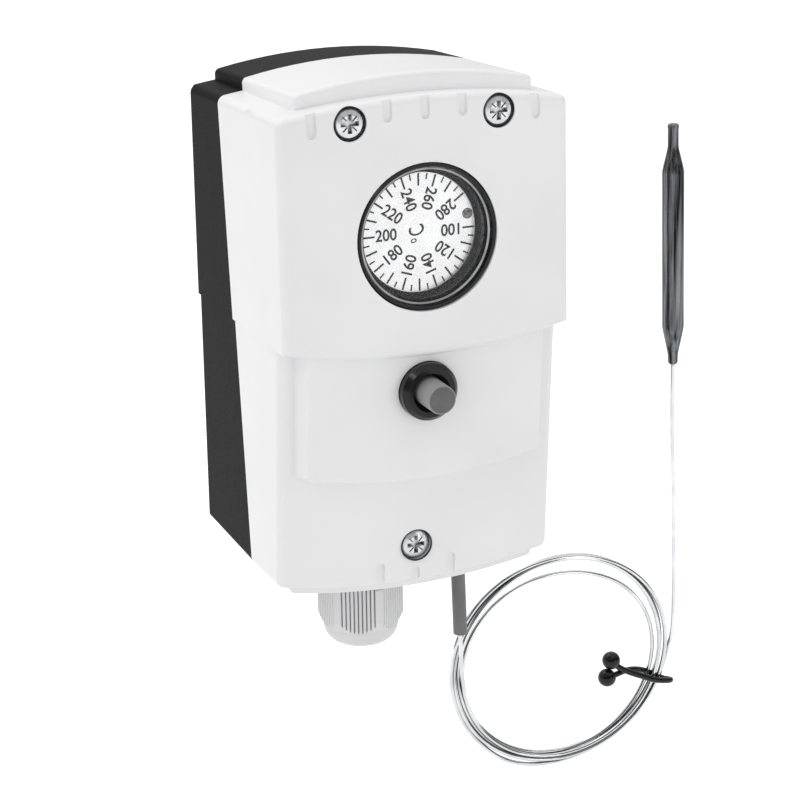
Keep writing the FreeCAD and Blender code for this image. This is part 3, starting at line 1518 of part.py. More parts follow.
def build_tube(name, route, diameter):
    path, radii = route_path(route)
    heading = path.Edges[0].tangentAt(path.Edges[0].FirstParameter)
    section = Part.Wire([Part.makeCircle(number_of(diameter) / 2, Vector(*route[0]), heading)])
    solid = path.makePipeShell([section], True, False)
    expected = math.pi * number_of(diameter) ** 2 / 4 * path.Length
    print(name, "length", round(path.Length, 1), "radii", radii,
          "volume share", round(solid.Volume / expected, 4))
    tube = doc.addObject("Part::Feature", name + "_swept")
    tube.Shape = solid
    return keep(tube, name)


def build_capillary():
    tube = size.capillary_diameter
    build_tube("capillary_inner", INNER_ROUTE, tube)
    build_tube("capillary_lead", LEAD_ROUTE, tube)
    build_tube("capillary_rise", RUN_ROUTE, tube)
    bore = tube / 2 + size.running_gap
    length = size.sleeve_end + size.sleeve_inside
    sleeve = upright_piece("capillary_sleeve", size.sleeve_offset, size.sleeve_depth, [
        (bore, 0.0), (size.sleeve_diameter / 2, 0.0),
        (size.sleeve_diameter / 2, length), (bore, length),
    ])
    bind(sleeve, "Placement.Base.z", -size.sleeve_end)
    on_sleeve_axis(sleeve)

    middle = size.coil_outer / 2 - size.coil_band / 2
    wide, thick = size.coil_band / 2, size.coil_thickness / 2
    coil = new_body("coil_bundle")
    sketch = add_sketch(coil, "bundle_section", plane="YZ_Plane")
    draw_outline(sketch, [
        (thick * 0.5, middle - wide), (thick, middle - wide * 0.5),
        (thick, middle + wide * 0.5), (thick * 0.5, middle + wide),
        (-thick * 0.5, middle + wide), (-thick, middle + wide * 0.5),
        (-thick, middle - wide * 0.5), (-thick * 0.5, middle - wide),
    ])
    add_revolution(coil, sketch, "H_Axis")
    bind(coil, "Placement.Base.x", size.coil_centre_offset)
    bind(coil, "Placement.Base.y", -size.coil_depth)
    bind(coil, "Placement.Base.z", -size.coil_centre_drop)
    keep(coil, "capillary_coil")

    neck, bulb = size.bulb_neck / 2, size.bulb_diameter / 2
    foot = size.bulb_base
    shoulder = foot + size.bulb_bottom_neck
    top = shoulder + size.bulb_body
    tip = top + size.bulb_top_neck
    upright_piece("sensor_bulb", size.bulb_offset, size.bulb_depth, [
        (0.0, foot), (neck * 0.8, foot), (neck, foot + 0.6),
        (neck, foot + size.bulb_bottom_neck * 0.42), (bulb, shoulder), (bulb, top),
        (neck, top + size.bulb_top_neck * 0.5), (neck * 0.9, tip - 0.5), (neck * 0.6, tip),
        (0.0, tip),
    ])
    build_tie()


def build_tie():
    """Wire tie: a loop round the bundle, twisted once, with a ball at each end."""
    angle = math.radians(size.tie_angle.number)
    middle = size.coil_outer.number / 2 - size.coil_band.number / 2
    centre = Vector(size.coil_centre_offset.number, -size.coil_depth.number,
                    -size.coil_centre_drop.number)
    radial = Vector(math.cos(angle), 0, math.sin(angle))
    along = Vector(-math.sin(angle), 0, math.cos(angle))
    hub = centre + radial * middle
    wire = size.tie_wire.number
    loop_radius = size.coil_band.number / 2 + wire * 0.85
    pieces = [Part.makeTorus(loop_radius, wire / 2, hub, along)]
    start = hub - radial * loop_radius
    ball = size.tie_ball.number / 2
    for side, reach in ((1, 11.2), (-1, 13.4)):
        end = start - radial * reach + along * (side * ball * 1.1) - Vector(0, 0.6 * side, 0)
        bend = start - radial * (reach * 0.55) + along * (side * wire * -0.7)
        for low, high in ((start, bend), (bend, end)):
            pieces.append(Part.makeCylinder(wire / 2, (high - low).Length, low, high - low))
        pieces.append(Part.makeSphere(wire / 2, bend))
        pieces.append(Part.makeSphere(ball, end))
    solid = pieces[0].multiFuse(pieces[1:])
    tie = doc.addObject("Part::Feature", "tie_wire_form")
    tie.Shape = solid
    keep(tie, "coil_tie")


def check_and_write():
    """Stops on any failed object, and writes each sub-part under its name."""
    doc.recompute()
    for thing in doc.Objects:
        if "Invalid" in thing.State or "Error" in thing.State:
            raise RuntimeError(thing.Name + " failed: " + str(thing.State))
    os.makedirs("parts", exist_ok=True)
    for thing in kept:
        shape = thing.Shape
        if shape.isNull() or not shape.isValid() or not shape.Solids:
            raise RuntimeError(thing.Label + " has no valid solid")
        shape.exportStep("parts/" + thing.Label + ".step")


build_housing()
build_window()
build_dial()
build_mechanism()
build_cover_screws()
build_reset()
build_gland()
build_capillary()
check_and_write()
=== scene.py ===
"""Looks of a wall-mounted capillary thermostat, built around its packed construction.

Every length below is in metres unless its name says otherwise. The frame is the part's own:
X to the right, Z up, the wall plane at Y = 0 and the front of the housing towards -Y.
"""

import logging
import math
from dataclasses import dataclass
from enum import Enum

import bpy
import numpy as np
from mathutils import Matrix, Vector


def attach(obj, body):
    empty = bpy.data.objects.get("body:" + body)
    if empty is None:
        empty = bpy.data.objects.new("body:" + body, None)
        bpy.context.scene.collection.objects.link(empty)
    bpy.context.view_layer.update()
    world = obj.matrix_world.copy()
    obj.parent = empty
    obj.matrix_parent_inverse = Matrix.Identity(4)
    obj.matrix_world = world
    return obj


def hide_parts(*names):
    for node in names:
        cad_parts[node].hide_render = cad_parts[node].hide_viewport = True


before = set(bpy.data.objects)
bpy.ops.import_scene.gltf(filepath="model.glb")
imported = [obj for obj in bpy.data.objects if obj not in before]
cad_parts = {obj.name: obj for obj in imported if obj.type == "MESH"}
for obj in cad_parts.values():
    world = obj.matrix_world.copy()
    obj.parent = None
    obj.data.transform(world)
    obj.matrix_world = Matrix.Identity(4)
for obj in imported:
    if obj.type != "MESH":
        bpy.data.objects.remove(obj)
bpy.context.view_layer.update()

logging.basicConfig(level=logging.INFO, format="%(message)s")
LOG = logging.getLogger("thermostat")

Colour = tuple[float, float, float, float]
Place = tuple[float, float, float]

MM = 0.001
DIAL_HEIGHT_MM = 84.7
DIAL_FACE_MM = 58.2
FORWARD: Place = (0.0, -1.0, 0.0)
UP: Place = (0.0, 0.0, 1.0)
CREASE_ANGLE = math.radians(35)
WHITE: Colour = (1.0, 1.0, 1.0, 1.0)
# Near black and steepness of the painted shade in recesses.
PAINTED_SHADE_COLOUR: Colour = (0.01, 0.01, 0.01, 1.0)
PAINTED_SHADE_POWER = 2.0
# Middle parts of the noises that are spread over the whole swing.
DRIFT_SPAN = (0.35, 0.65)
GRAIN_SPAN = (0.3, 0.7)
LEAST_ROUGHNESS = 0.02
# How many times longer than wide the streaks of drawn metal are, and its colour's drift, whose
# light and dark streaks are partly painted reflection.
DRAWN_STREAK_LENGTH = 40.0
DRAWN_DRIFT_SCALE = 0.04
IMAGE_WIDTH_PX = 800


def linear(hex_colour: str) -> tuple[float, float, float, float]:
    """Turns an sRGB hex value such as "#F2F2F0" to linear RGBA.

    Each channel c follows c / 12.92 below 0.04045, and ((c + 0.055) / 1.055) ** 2.4 above it.

    Args:
        hex_colour: Six hex digits after a hash sign.

    Returns:
        The linear colour with alpha 1.
    """
    channels = [int(hex_colour[i : i + 2], 16) / 255 for i in (1, 3, 5)]
    bright = [c / 12.92 if c <= 0.04045 else ((c + 0.055) / 1.055) ** 2.4 for c in channels]
    return (bright[0], bright[1], bright[2], 1.0)


def add_node(
    tree: bpy.types.NodeTree, kind: str, settings: dict | None = None, links: dict | None = None
) -> bpy.types.Node:
    """Adds one shader node with its settings and links.

    Args:
        tree: The material's or world's node tree.
        kind: The node's type, such as "ShaderNodeBump".
        settings: Property names, input names or input numbers, to values.
        links: Input names or numbers to the output sockets that feed them.

    Returns:
        The new node.
    """
    node = tree.nodes.new(kind)
    for name, value in (settings or {}).items():
        if isinstance(name, int) or name in node.inputs:
            node.inputs[name].default_value = value
        else:
            setattr(node, name, value)
    for name, socket in (links or {}).items():
        tree.links.new(socket, node.inputs[name])
    return node


class Surface(Enum):
    """How a surface was made, which sets the form of its fine pattern."""

    MOULDED = "moulded"
    DRAWN_UPRIGHT = "drawn_upright"
    TURNED = "turned"


@dataclass(frozen=True)
class Finish:
    """One real material with its surface.

    Attributes:
        name: Material name, for the real material and its process.
        colour: Base colour as an sRGB hex value.
        shade: Second colour that the base drifts towards.
        drift_mm: Size of that slow colour drift.
        surface: How the surface was made.
        grain_mm: Size of the fine pattern.
        grain_depth_mm: Height of the fine pattern, for the bump.
        roughness: Microfacet roughness.
        roughness_swing: How far the roughness varies with the fine pattern.
        metallic: 1 for a bare metal.
        ior: Index of refraction of a non-metal.
        specular: Share of the dielectric reflection.
        alpha: Opacity.
        crevice_mm: Reach of the painted shade that darkens recesses, or 0 for none.
    """

    name: str
    colour: str
    shade: str
    drift_mm: float = 12.0
    surface: Surface = Surface.MOULDED
    grain_mm: float = 0.35
    grain_depth_mm: float = 0.01
    roughness: float = 0.4
    roughness_swing: float = 0.06
    metallic: float = 0.0
    ior: float = 1.5
    specular: float = 0.5
    alpha: float = 1.0
    crevice_mm: float = 0.0

    def colour_socket(
        self, tree: bpy.types.NodeTree, place: bpy.types.NodeSocket
    ) -> bpy.types.NodeSocket:
        """Lets the base colour drift slowly towards the shade colour with a large noise.

        Args:
            tree: The material's node tree.
            place: The object coordinates.

        Returns:
            The colour, with painted shade in the recesses if the finish asks for it.
        """
        drawn = self.surface is Surface.DRAWN_UPRIGHT
        # On drawn metal the colour drift is stretched into long streaks, which are partly painted
        # reflection.
        drift = add_node(
            tree, "ShaderNodeMapping",
            {"Scale": (1.0, 1.0, DRAWN_DRIFT_SCALE if drawn else 1.0)}, {"Vector": place},
        )
        slow = add_node(
            tree, "ShaderNodeTexNoise",
            {"Scale": 1.0 / (self.drift_mm * MM), "Detail": 3.0, "Roughness": 0.5},
            {"Vector": drift.outputs["Vector"]},
        )
        weight = add_node(
            tree, "ShaderNodeMapRange",
            {
                "From Min": DRIFT_SPAN[0], "From Max": DRIFT_SPAN[1],
                "To Min": 0.0, "To Max": 1.0,
            },
            {"Value": slow.outputs["Fac"]},
        )
        tint = add_node(
            tree, "ShaderNodeMix",
            {"data_type": "RGBA", 6: linear(self.colour), 7: linear(self.shade)},
            {"Factor": weight.outputs["Result"]},
        )
        if self.crevice_mm > 0.0:
            return self.darken_recesses(tree, tint.outputs[2])
        return tint.outputs[2]

    def darken_recesses(
        self, tree: bpy.types.NodeTree, colour: bpy.types.NodeSocket
    ) -> bpy.types.NodeSocket:
        """Paints shade into the colour where close walls shut out the light.

        Args:
            tree: The material's node tree.
            colour: The base colour.

        Returns:
            The colour, mixed with near black by the square of how open the surface is.
        """
        shade = add_node(
            tree, "ShaderNodeAmbientOcclusion", {"Distance": self.crevice_mm * MM, "samples": 8}
        )
        steep = add_node(
            tree, "ShaderNodeMath", {"operation": "POWER", 1: PAINTED_SHADE_POWER},
            {0: shade.outputs["AO"]},
        )
        dark = add_node(
            tree, "ShaderNodeMix", {"data_type": "RGBA", 6: PAINTED_SHADE_COLOUR},
            {"Factor": steep.outputs[0], 7: colour},
        )
        return dark.outputs[2]

    def ring_distance(
        self, tree: bpy.types.NodeTree, place: bpy.types.NodeSocket
    ) -> bpy.types.NodeSocket:
        """Turns object coordinates to the distance from the dial's axis.

        The distance is sqrt(x^2 + (z - z0)^2), so a pattern of it alone makes fine rings.

        Args:
            tree: The material's node tree.
            place: The object coordinates.

        Returns:
            The distance.
        """
        moved = add_node(
            tree, "ShaderNodeMapping", {"Location": (0.0, 0.0, -DIAL_HEIGHT_MM * MM)},
            {"Vector": place},
        )
        flat = add_node(
            tree, "ShaderNodeVectorMath", {"operation": "MULTIPLY", 1: (1.0, 0.0, 1.0)},
            {0: moved.outputs["Vector"]},
        )
        reach = add_node(
            tree, "ShaderNodeVectorMath", {"operation": "LENGTH"}, {0: flat.outputs["Vector"]}
        )
        return reach.outputs["Value"]

    def fine_pattern(
        self, tree: bpy.types.NodeTree, place: bpy.types.NodeSocket
    ) -> bpy.types.NodeSocket:
        """Gives the fine noise: even, long and upright on drawn metal, or rings on a turned disc.

        Args:
            tree: The material's node tree.
            place: The object coordinates.

        Returns:
            The noise, from 0 to 1.
        """
        if self.surface is Surface.TURNED:
            place = self.ring_distance(tree, place)
        fine = 1.0 / (self.grain_mm * MM)
        drawn = self.surface is Surface.DRAWN_UPRIGHT
        grid = add_node(
            tree, "ShaderNodeMapping",
            {"Scale": (fine, fine, fine / DRAWN_STREAK_LENGTH if drawn else fine)},
            {"Vector": place},
        )
        noise = add_node(
            tree, "ShaderNodeTexNoise", {"Scale": 1.0, "Detail": 2.0, "Roughness": 0.55},
            {"Vector": grid.outputs["Vector"]},
        )
        return noise.outputs["Fac"]

    def material(self) -> bpy.types.Material:
        """Builds the material, or gives the one that is there already.

        The fine pattern swings the roughness and feeds the bump.

        Returns:
            The finished material.
        """
        if self.name in bpy.data.materials:
            return bpy.data.materials[self.name]
        made = bpy.data.materials.new(self.name)
        made.use_nodes = True
        tree = made.node_tree
        tree.nodes.clear()
        place = add_node(tree, "ShaderNodeTexCoord").outputs["Object"]
        colour = self.colour_socket(tree, place)
        fine = self.fine_pattern(tree, place)
        gloss = add_node(
            tree, "ShaderNodeMapRange",
            {
                "From Min": GRAIN_SPAN[0], "From Max": GRAIN_SPAN[1],
                "To Min": max(self.roughness - self.roughness_swing, LEAST_ROUGHNESS),
                "To Max": min(self.roughness + self.roughness_swing, 1.0),
            },
            {"Value": fine},
        )
        bump = add_node(
            tree, "ShaderNodeBump",
            {"Strength": 1.0, "Distance": self.grain_depth_mm * MM}, {"Height": fine},
        )
        shader = add_node(
            tree, "ShaderNodeBsdfPrincipled",
            {
                "Metallic": self.metallic, "IOR": self.ior, "Alpha": self.alpha,
                "Specular IOR Level": self.specular,
            },
            {
                "Base Color": colour, "Roughness": gloss.outputs["Result"],
                "Normal": bump.outputs["Normal"],
            },
        )
        add_node(
            tree, "ShaderNodeOutputMaterial", links={"Surface": shader.outputs["BSDF"]}
        )
        return made


# Moulded ABS, satin and spark-eroded: a bright, cool white with hardly any gloss.
WHITE_ABS = Finish("white_abs_moulded", "#F3F3F4", "#EFEFF0", 30, grain_mm=0.3,
                   grain_depth_mm=0.004, roughness=0.36, roughness_swing=0.05)
# The same plastic in black: dull, with broad soft highlights.
BLACK_ABS = Finish("black_abs_moulded", "#1C1C1D", "#19191A", 25, grain_mm=0.35,
                   grain_depth_mm=0.008, roughness=0.5, roughness_swing=0.06, specular=0.03)
# Polyamide parts from a polished mould: black with a clear, narrow highlight.
BLACK_GLOSS = Finish("black_polyamide_moulded", "#161617", "#101011", 8, grain_mm=0.25,
                     grain_depth_mm=0.0, roughness=0.22, roughness_swing=0.02, specular=0.3)
# Clear polycarbonate disc, polished: seen only by a faint reflection.
CLEAR_PC = Finish("clear_polycarbonate_polished", "#FFFFFF", "#FAFCFF", 8, grain_mm=1.0,
                  grain_depth_mm=0.0, roughness=0.04, roughness_swing=0.01, ior=1.58, alpha=0.03)
# The bevelled edge of that disc, with a painted highlight: its pale colour stands for the light
# that it gathers.
LENS_EDGE_HIGHLIGHT = Finish("polycarbonate_edge_painted_highlight", "#C4C4C6", "#9C9C9E", 5, grain_mm=0.6,
                   grain_depth_mm=0.002, roughness=0.25, roughness_swing=0.05)
# Bare aluminium disc, turned and anodised: pale silver with fine rings.
TURNED_ALUMINIUM = Finish("anodised_aluminium_turned", "#FAFAFB", "#F0F0F1", 4,
                          Surface.TURNED, grain_mm=0.5, grain_depth_mm=0.016,
                          roughness=0.26, roughness_swing=0.1, metallic=0.7)
# Screen-printed ink: flat black, slightly raised. It also colours the rings of painted shade in
# the gaps round the screw heads and the stop pin.
PRINT_INK_AND_PAINTED_SHADE = Finish("scale_ink_and_painted_shade", "#232426", "#2B2C2E", 2, grain_mm=0.1,
                   grain_depth_mm=0.001, roughness=0.6, specular=0.2)
# Light grey polyamide of the gland, moulded with a fine matt skin, with painted shade in its
# grooves.
GLAND_PA = Finish("grey_polyamide_moulded", "#E6E6E7", "#DFDFE0", 10, grain_mm=0.3,
                  grain_depth_mm=0.004, roughness=0.42, roughness_swing=0.06, crevice_mm=0.25)
# Mid grey polyamide of the button cap.
BUTTON_PA = Finish("button_polyamide_moulded", "#979798", "#8C8C8D", 5, grain_mm=0.25,
                   grain_depth_mm=0.004, roughness=0.45, roughness_swing=0.06)
# Front of the button, darker than its side, with a coarser grain.
BUTTON_FACE = Finish("button_polyamide_grained", "#6C6C6D", "#646465", 3, grain_mm=0.2,
                     grain_depth_mm=0.008, roughness=0.55, roughness_swing=0.06, specular=0.3)
# Natural polyamide of hidden carriers.
NATURAL_PA = Finish("natural_polyamide_moulded", "#DAD5C5", "#CFC9B8", 8, roughness=0.45)
# Bright zinc on steel screws: cool, slightly mottled, fairly sharp reflections, with painted
# shade in their recesses.
ZINC_STEEL = Finish("zinc_plated_steel", "#EEEFF0", "#D6D8DA", 1.6, grain_mm=0.6,
                    grain_depth_mm=0.012, roughness=0.22, roughness_swing=0.08, metallic=0.4,
                    crevice_mm=0.7)
# Head of the small pin: dull zinc, mottled grey.
PIN_STEEL = Finish("pin_steel_dull", "#B2B2B3", "#4C4C4E", 0.6, grain_mm=0.3,
                   grain_depth_mm=0.01, roughness=0.45, roughness_swing=0.1, metallic=0.3)
# Drawn stainless tube, bright: long highlights along the line, dark between them, partly from
# painted shade where the turns lie close.
DRAWN_STAINLESS = Finish("stainless_tube_drawn", "#E2E3E4", "#CDCFD1", 6, grain_mm=0.15,
                         grain_depth_mm=0.001, roughness=0.09, roughness_swing=0.03,
                         metallic=1.0, crevice_mm=1.0)
# Bulb of darkened drawn steel: light and dark streaks along its length, partly real drawn streaks
# and partly painted reflection.
BULB_STREAKS_AND_REFLECTION = Finish("bulb_steel_streaks_and_painted_reflection", "#848587", "#0E0F10", 1.1, Surface.DRAWN_UPRIGHT,
                    grain_mm=0.35, grain_depth_mm=0.012, roughness=0.3, roughness_swing=0.1,
                    metallic=0.85, specular=0.2)
# Turned brass of terminals, nut and bush.
BRASS = Finish("brass_turned", "#C9A555", "#B8924A", 4, grain_mm=0.12, grain_depth_mm=0.004,
               roughness=0.3, roughness_swing=0.08, metallic=1.0)
# Brown phenolic moulding of the switch block.
PHENOLIC = Finish("phenolic_moulded", "#3A2A1E", "#2E2118", 6, roughness=0.5)
# Black nitrile rubber of seals.
SEAL_RUBBER = Finish("nitrile_rubber_moulded", "#1F1F20", "#18181A", 5, roughness=0.7)
# Extruded grey insulating sleeve, slightly soft.
SLEEVE_PVC = Finish("grey_sleeve_extruded", "#7E7E7F", "#747475", 6, grain_mm=0.4,
                    grain_depth_mm=0.004, roughness=0.5, roughness_swing=0.05, specular=0.3)
# Black coated wire tie: smooth, with small sharp highlights.
TIE_PVC = Finish("black_tie_coated", "#131314", "#0E0E0F", 4, grain_mm=0.5,
                 grain_depth_mm=0.003, roughness=0.25, roughness_swing=0.04, specular=0.35)

NODE_FINISH: dict[str, Finish] = {
    "rear_housing": BLACK_ABS, "front_cover": WHITE_ABS, "housing_gasket": SEAL_RUBBER,
    "window_ring": BLACK_GLOSS, "window_lens": CLEAR_PC, "dial": TURNED_ALUMINIUM,
    "dial_hub": NATURAL_PA, "setting_spindle": ZINC_STEEL, "mechanism_frame": ZINC_STEEL,
    "spindle_bush": BRASS, "setting_nut": BRASS, "diaphragm_capsule": DRAWN_STAINLESS,
    "pressure_plate": ZINC_STEEL, "range_spring": ZINC_STEEL, "switch_block": PHENOLIC,
    "dial_stop_pin": ZINC_STEEL,
    "switch_pin": NATURAL_PA, "terminal_clamps": BRASS, "terminal_screws": ZINC_STEEL,
    "earth_terminal": BRASS, "frame_screws": ZINC_STEEL, "cover_screws": ZINC_STEEL,
    "reset_collar": BLACK_GLOSS, "collar_nut": BLACK_GLOSS, "reset_button": BUTTON_PA,
    "reset_plunger": NATURAL_PA, "reset_spring": ZINC_STEEL, "gland_body": BLACK_GLOSS,
    "gland_washer": SEAL_RUBBER, "gland_locknut": GLAND_PA, "gland_insert": SEAL_RUBBER,
    "gland_nut": GLAND_PA, "capillary_inner": DRAWN_STAINLESS, "capillary_lead": DRAWN_STAINLESS,
    "capillary_rise": DRAWN_STAINLESS, "capillary_sleeve": SLEEVE_PVC,
    "capillary_coil": DRAWN_STAINLESS, "sensor_bulb": BULB_STREAKS_AND_REFLECTION, "coil_tie": TIE_PVC,
}


def add_piece(name: str, data: bpy.types.ID, body: str) -> bpy.types.Object:
    """Adds a piece at the origin that rides on a body.

    Args:
        name: The piece's name.
        data: Its mesh or curve, in place.
        body: The body that carries it.

    Returns:
        The new object.
    """
    piece = bpy.data.objects.new(name, data)
    bpy.context.scene.collection.objects.link(piece)
    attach(piece, body)
    return piece


def mesh_piece(
    name: str, points: np.ndarray, faces: list[list[int]], finish: Finish, body: str
) -> bpy.types.Object:
    """Makes a piece from points and faces, smooth but for the edges past the crease angle.

    Args:
        name: The piece's name.
        points: Rows of X, Y and Z.
        faces: Point numbers of each face, counter-clockwise seen from outside.
        finish: Its material.
        body: The body that carries it.

    Returns:
        The new object, at the origin.
    """
    mesh = bpy.data.meshes.new(name)
    mesh.from_pydata(points, [], faces)
    mesh.polygons.foreach_set("use_smooth", np.ones(len(mesh.polygons), dtype=bool))
    mesh.set_sharp_from_angle(angle=CREASE_ANGLE)
    mesh.materials.append(finish.material())
    return add_piece(name, mesh, body)


def turned_surface(
    profile_mm: list[tuple[float, float]] | np.ndarray, foot_mm: Place, axis: Place = FORWARD,
    steps: int = 96, first: int = 0,
) -> tuple[np.ndarray, list[list[int]]]:
    """Turns a profile round a line.

    With r the radius of a corner, a its distance along the line and t the angle, its point is
    the foot plus r cos t and r sin t across the line and a along it. A profile that starts and
    ends at radius 0 gives a solid, with one point and a fan of triangles at each pole. Any
    other one is closed from its last corner to its first, which gives a ring.

    Args:
        profile_mm: Radius of each corner, and its distance along the line from the foot. The
            corners run from the line's front end outwards and back.
        foot_mm: A point on the line.
        axis: Direction of the line.
        steps: Facets round the line.
        first: Number of the first point.

    Returns:
        The points, and the faces with their normals outwards.
    """
    profile = np.array(profile_mm) * MM
    solid = profile[0, 0] == 0.0
    wall = profile[1:-1] if solid else profile
    angle = np.linspace(0.0, 2.0 * math.pi, steps, endpoint=False)
    rings = np.empty((len(wall), steps, 3))
    rings[..., 0] = wall[:, :1] * np.cos(angle)
    rings[..., 1] = wall[:, :1] * np.sin(angle)
    rings[..., 2] = wall[:, 1:]
    points = rings.reshape(-1, 3)
    here = first + np.arange(len(points)).reshape(-1, steps)
    if not solid:
        here = np.vstack((here, here[:1]))
    ahead = np.roll(here, -1, axis=1)
    quads = np.stack((here[:-1], here[1:], ahead[1:], ahead[:-1]), axis=-1)
    faces = quads.reshape(-1, 4).tolist()
    if solid:
        front = np.full(steps, first + len(points))
        faces += np.column_stack((front, here[0], ahead[0])).tolist()
        faces += np.column_stack((front + 1, ahead[-1], here[-1])).tolist()
        poles = [(0.0, 0.0, profile[0, 1]), (0.0, 0.0, profile[-1, 1])]
        points = np.vstack((points, poles))
    turn = np.array(Vector(axis).to_track_quat("Z", "Y").to_matrix())
    return points @ turn.T + np.array(foot_mm) * MM, faces


def turned_piece(
    name: str, profile_mm: list[tuple[float, float]], foot_mm: Place, finish: Finish, body: str,
    axis: Place = FORWARD, steps: int = 96,
) -> bpy.types.Object:
    """Makes a piece from a turned profile.

    Args:
        name: The piece's name.
        profile_mm: As in turned_surface.
        foot_mm: A point on the line.
        finish: Its material.
        body: The body that carries it.
        axis: Direction of the line.
        steps: Facets round the line.

    Returns:
        The new object, at the origin.
    """
    points, faces = turned_surface(profile_mm, foot_mm, axis, steps)
    return mesh_piece(name, points, faces, finish, body)


def round_line(
    name: str, route: np.ndarray, radius: float, sides: int, steps: int
) -> bpy.types.Curve:
    """Makes a round line whose open NURBS spline has the route's points as control points.

    Args:
        name: The curve's name.
        route: Rows of X, Y and Z.
        radius: Half its thickness.
        sides: Fineness of its round section.
        steps: Fineness along each segment.

    Returns:
        The curve.
    """
    curve = bpy.data.curves.new(name, "CURVE")
    curve.dimensions = "3D"
    curve.bevel_depth = radius
    curve.bevel_resolution = sides
    curve.resolution_u = steps
    curve.render_resolution_u = steps
    spline = curve.splines.new("NURBS")
    spline.points.add(len(route) - 1)
    spline.points.foreach_set("co", np.column_stack((route, np.ones(len(route)))).ravel())
    spline.order_u = 3
    spline.use_endpoint_u = True
    spline.resolution_u = steps
    return curve


def mesh_of(curve: bpy.types.Curve) -> bpy.types.Mesh:
    """Turns a curve or a text to a mesh.

    Args:
        curve: The curve or text.

    Returns:
        The mesh, in the curve's own place.
    """
    shaper = bpy.data.objects.new(curve.name, curve)
    bpy.context.scene.collection.objects.link(shaper)
    bpy.context.view_layer.update()
    mesh = bpy.data.meshes.new_from_object(shaper)
    bpy.data.objects.remove(shaper)
    return mesh


@dataclass(frozen=True)
class Lamp:
    """A soft, square lamp that is aimed at the part.

    Attributes:
        name: Its name.
        place: Where it stands.
        size: Length of its sides.
        power: Its power in watts.
    """

    name: str
    place: Place
    size: float
    power: float

    def build(self, aim: Place) -> None:
        """Adds the lamp.

        Args:
            aim: The point that it is aimed at.
        """
        data = bpy.data.lights.new(self.name, "AREA")
        data.shape = "SQUARE"
        data.size = self.size
        data.energy = self.power
        lamp = bpy.data.objects.new(self.name, data)
        lamp.location = self.place
        way = Vector(aim) - Vector(self.place)
        lamp.rotation_euler = way.to_track_quat("-Z", "Y").to_euler()
        bpy.context.scene.collection.objects.link(lamp)


LAMPS = (
    Lamp("top_left_lamp", (-0.9, -0.6, 1.1), 0.25, 1.3),
    Lamp("front_right_lamp", (0.8, -1.35, 0.1), 0.3, 1.0),
    Lamp("left_lamp", (-1.4, -0.1, 0.2), 0.8, 0.8),
    Lamp("top_lamp", (-0.3, 0.35, 1.2), 0.8, 3.2),
)


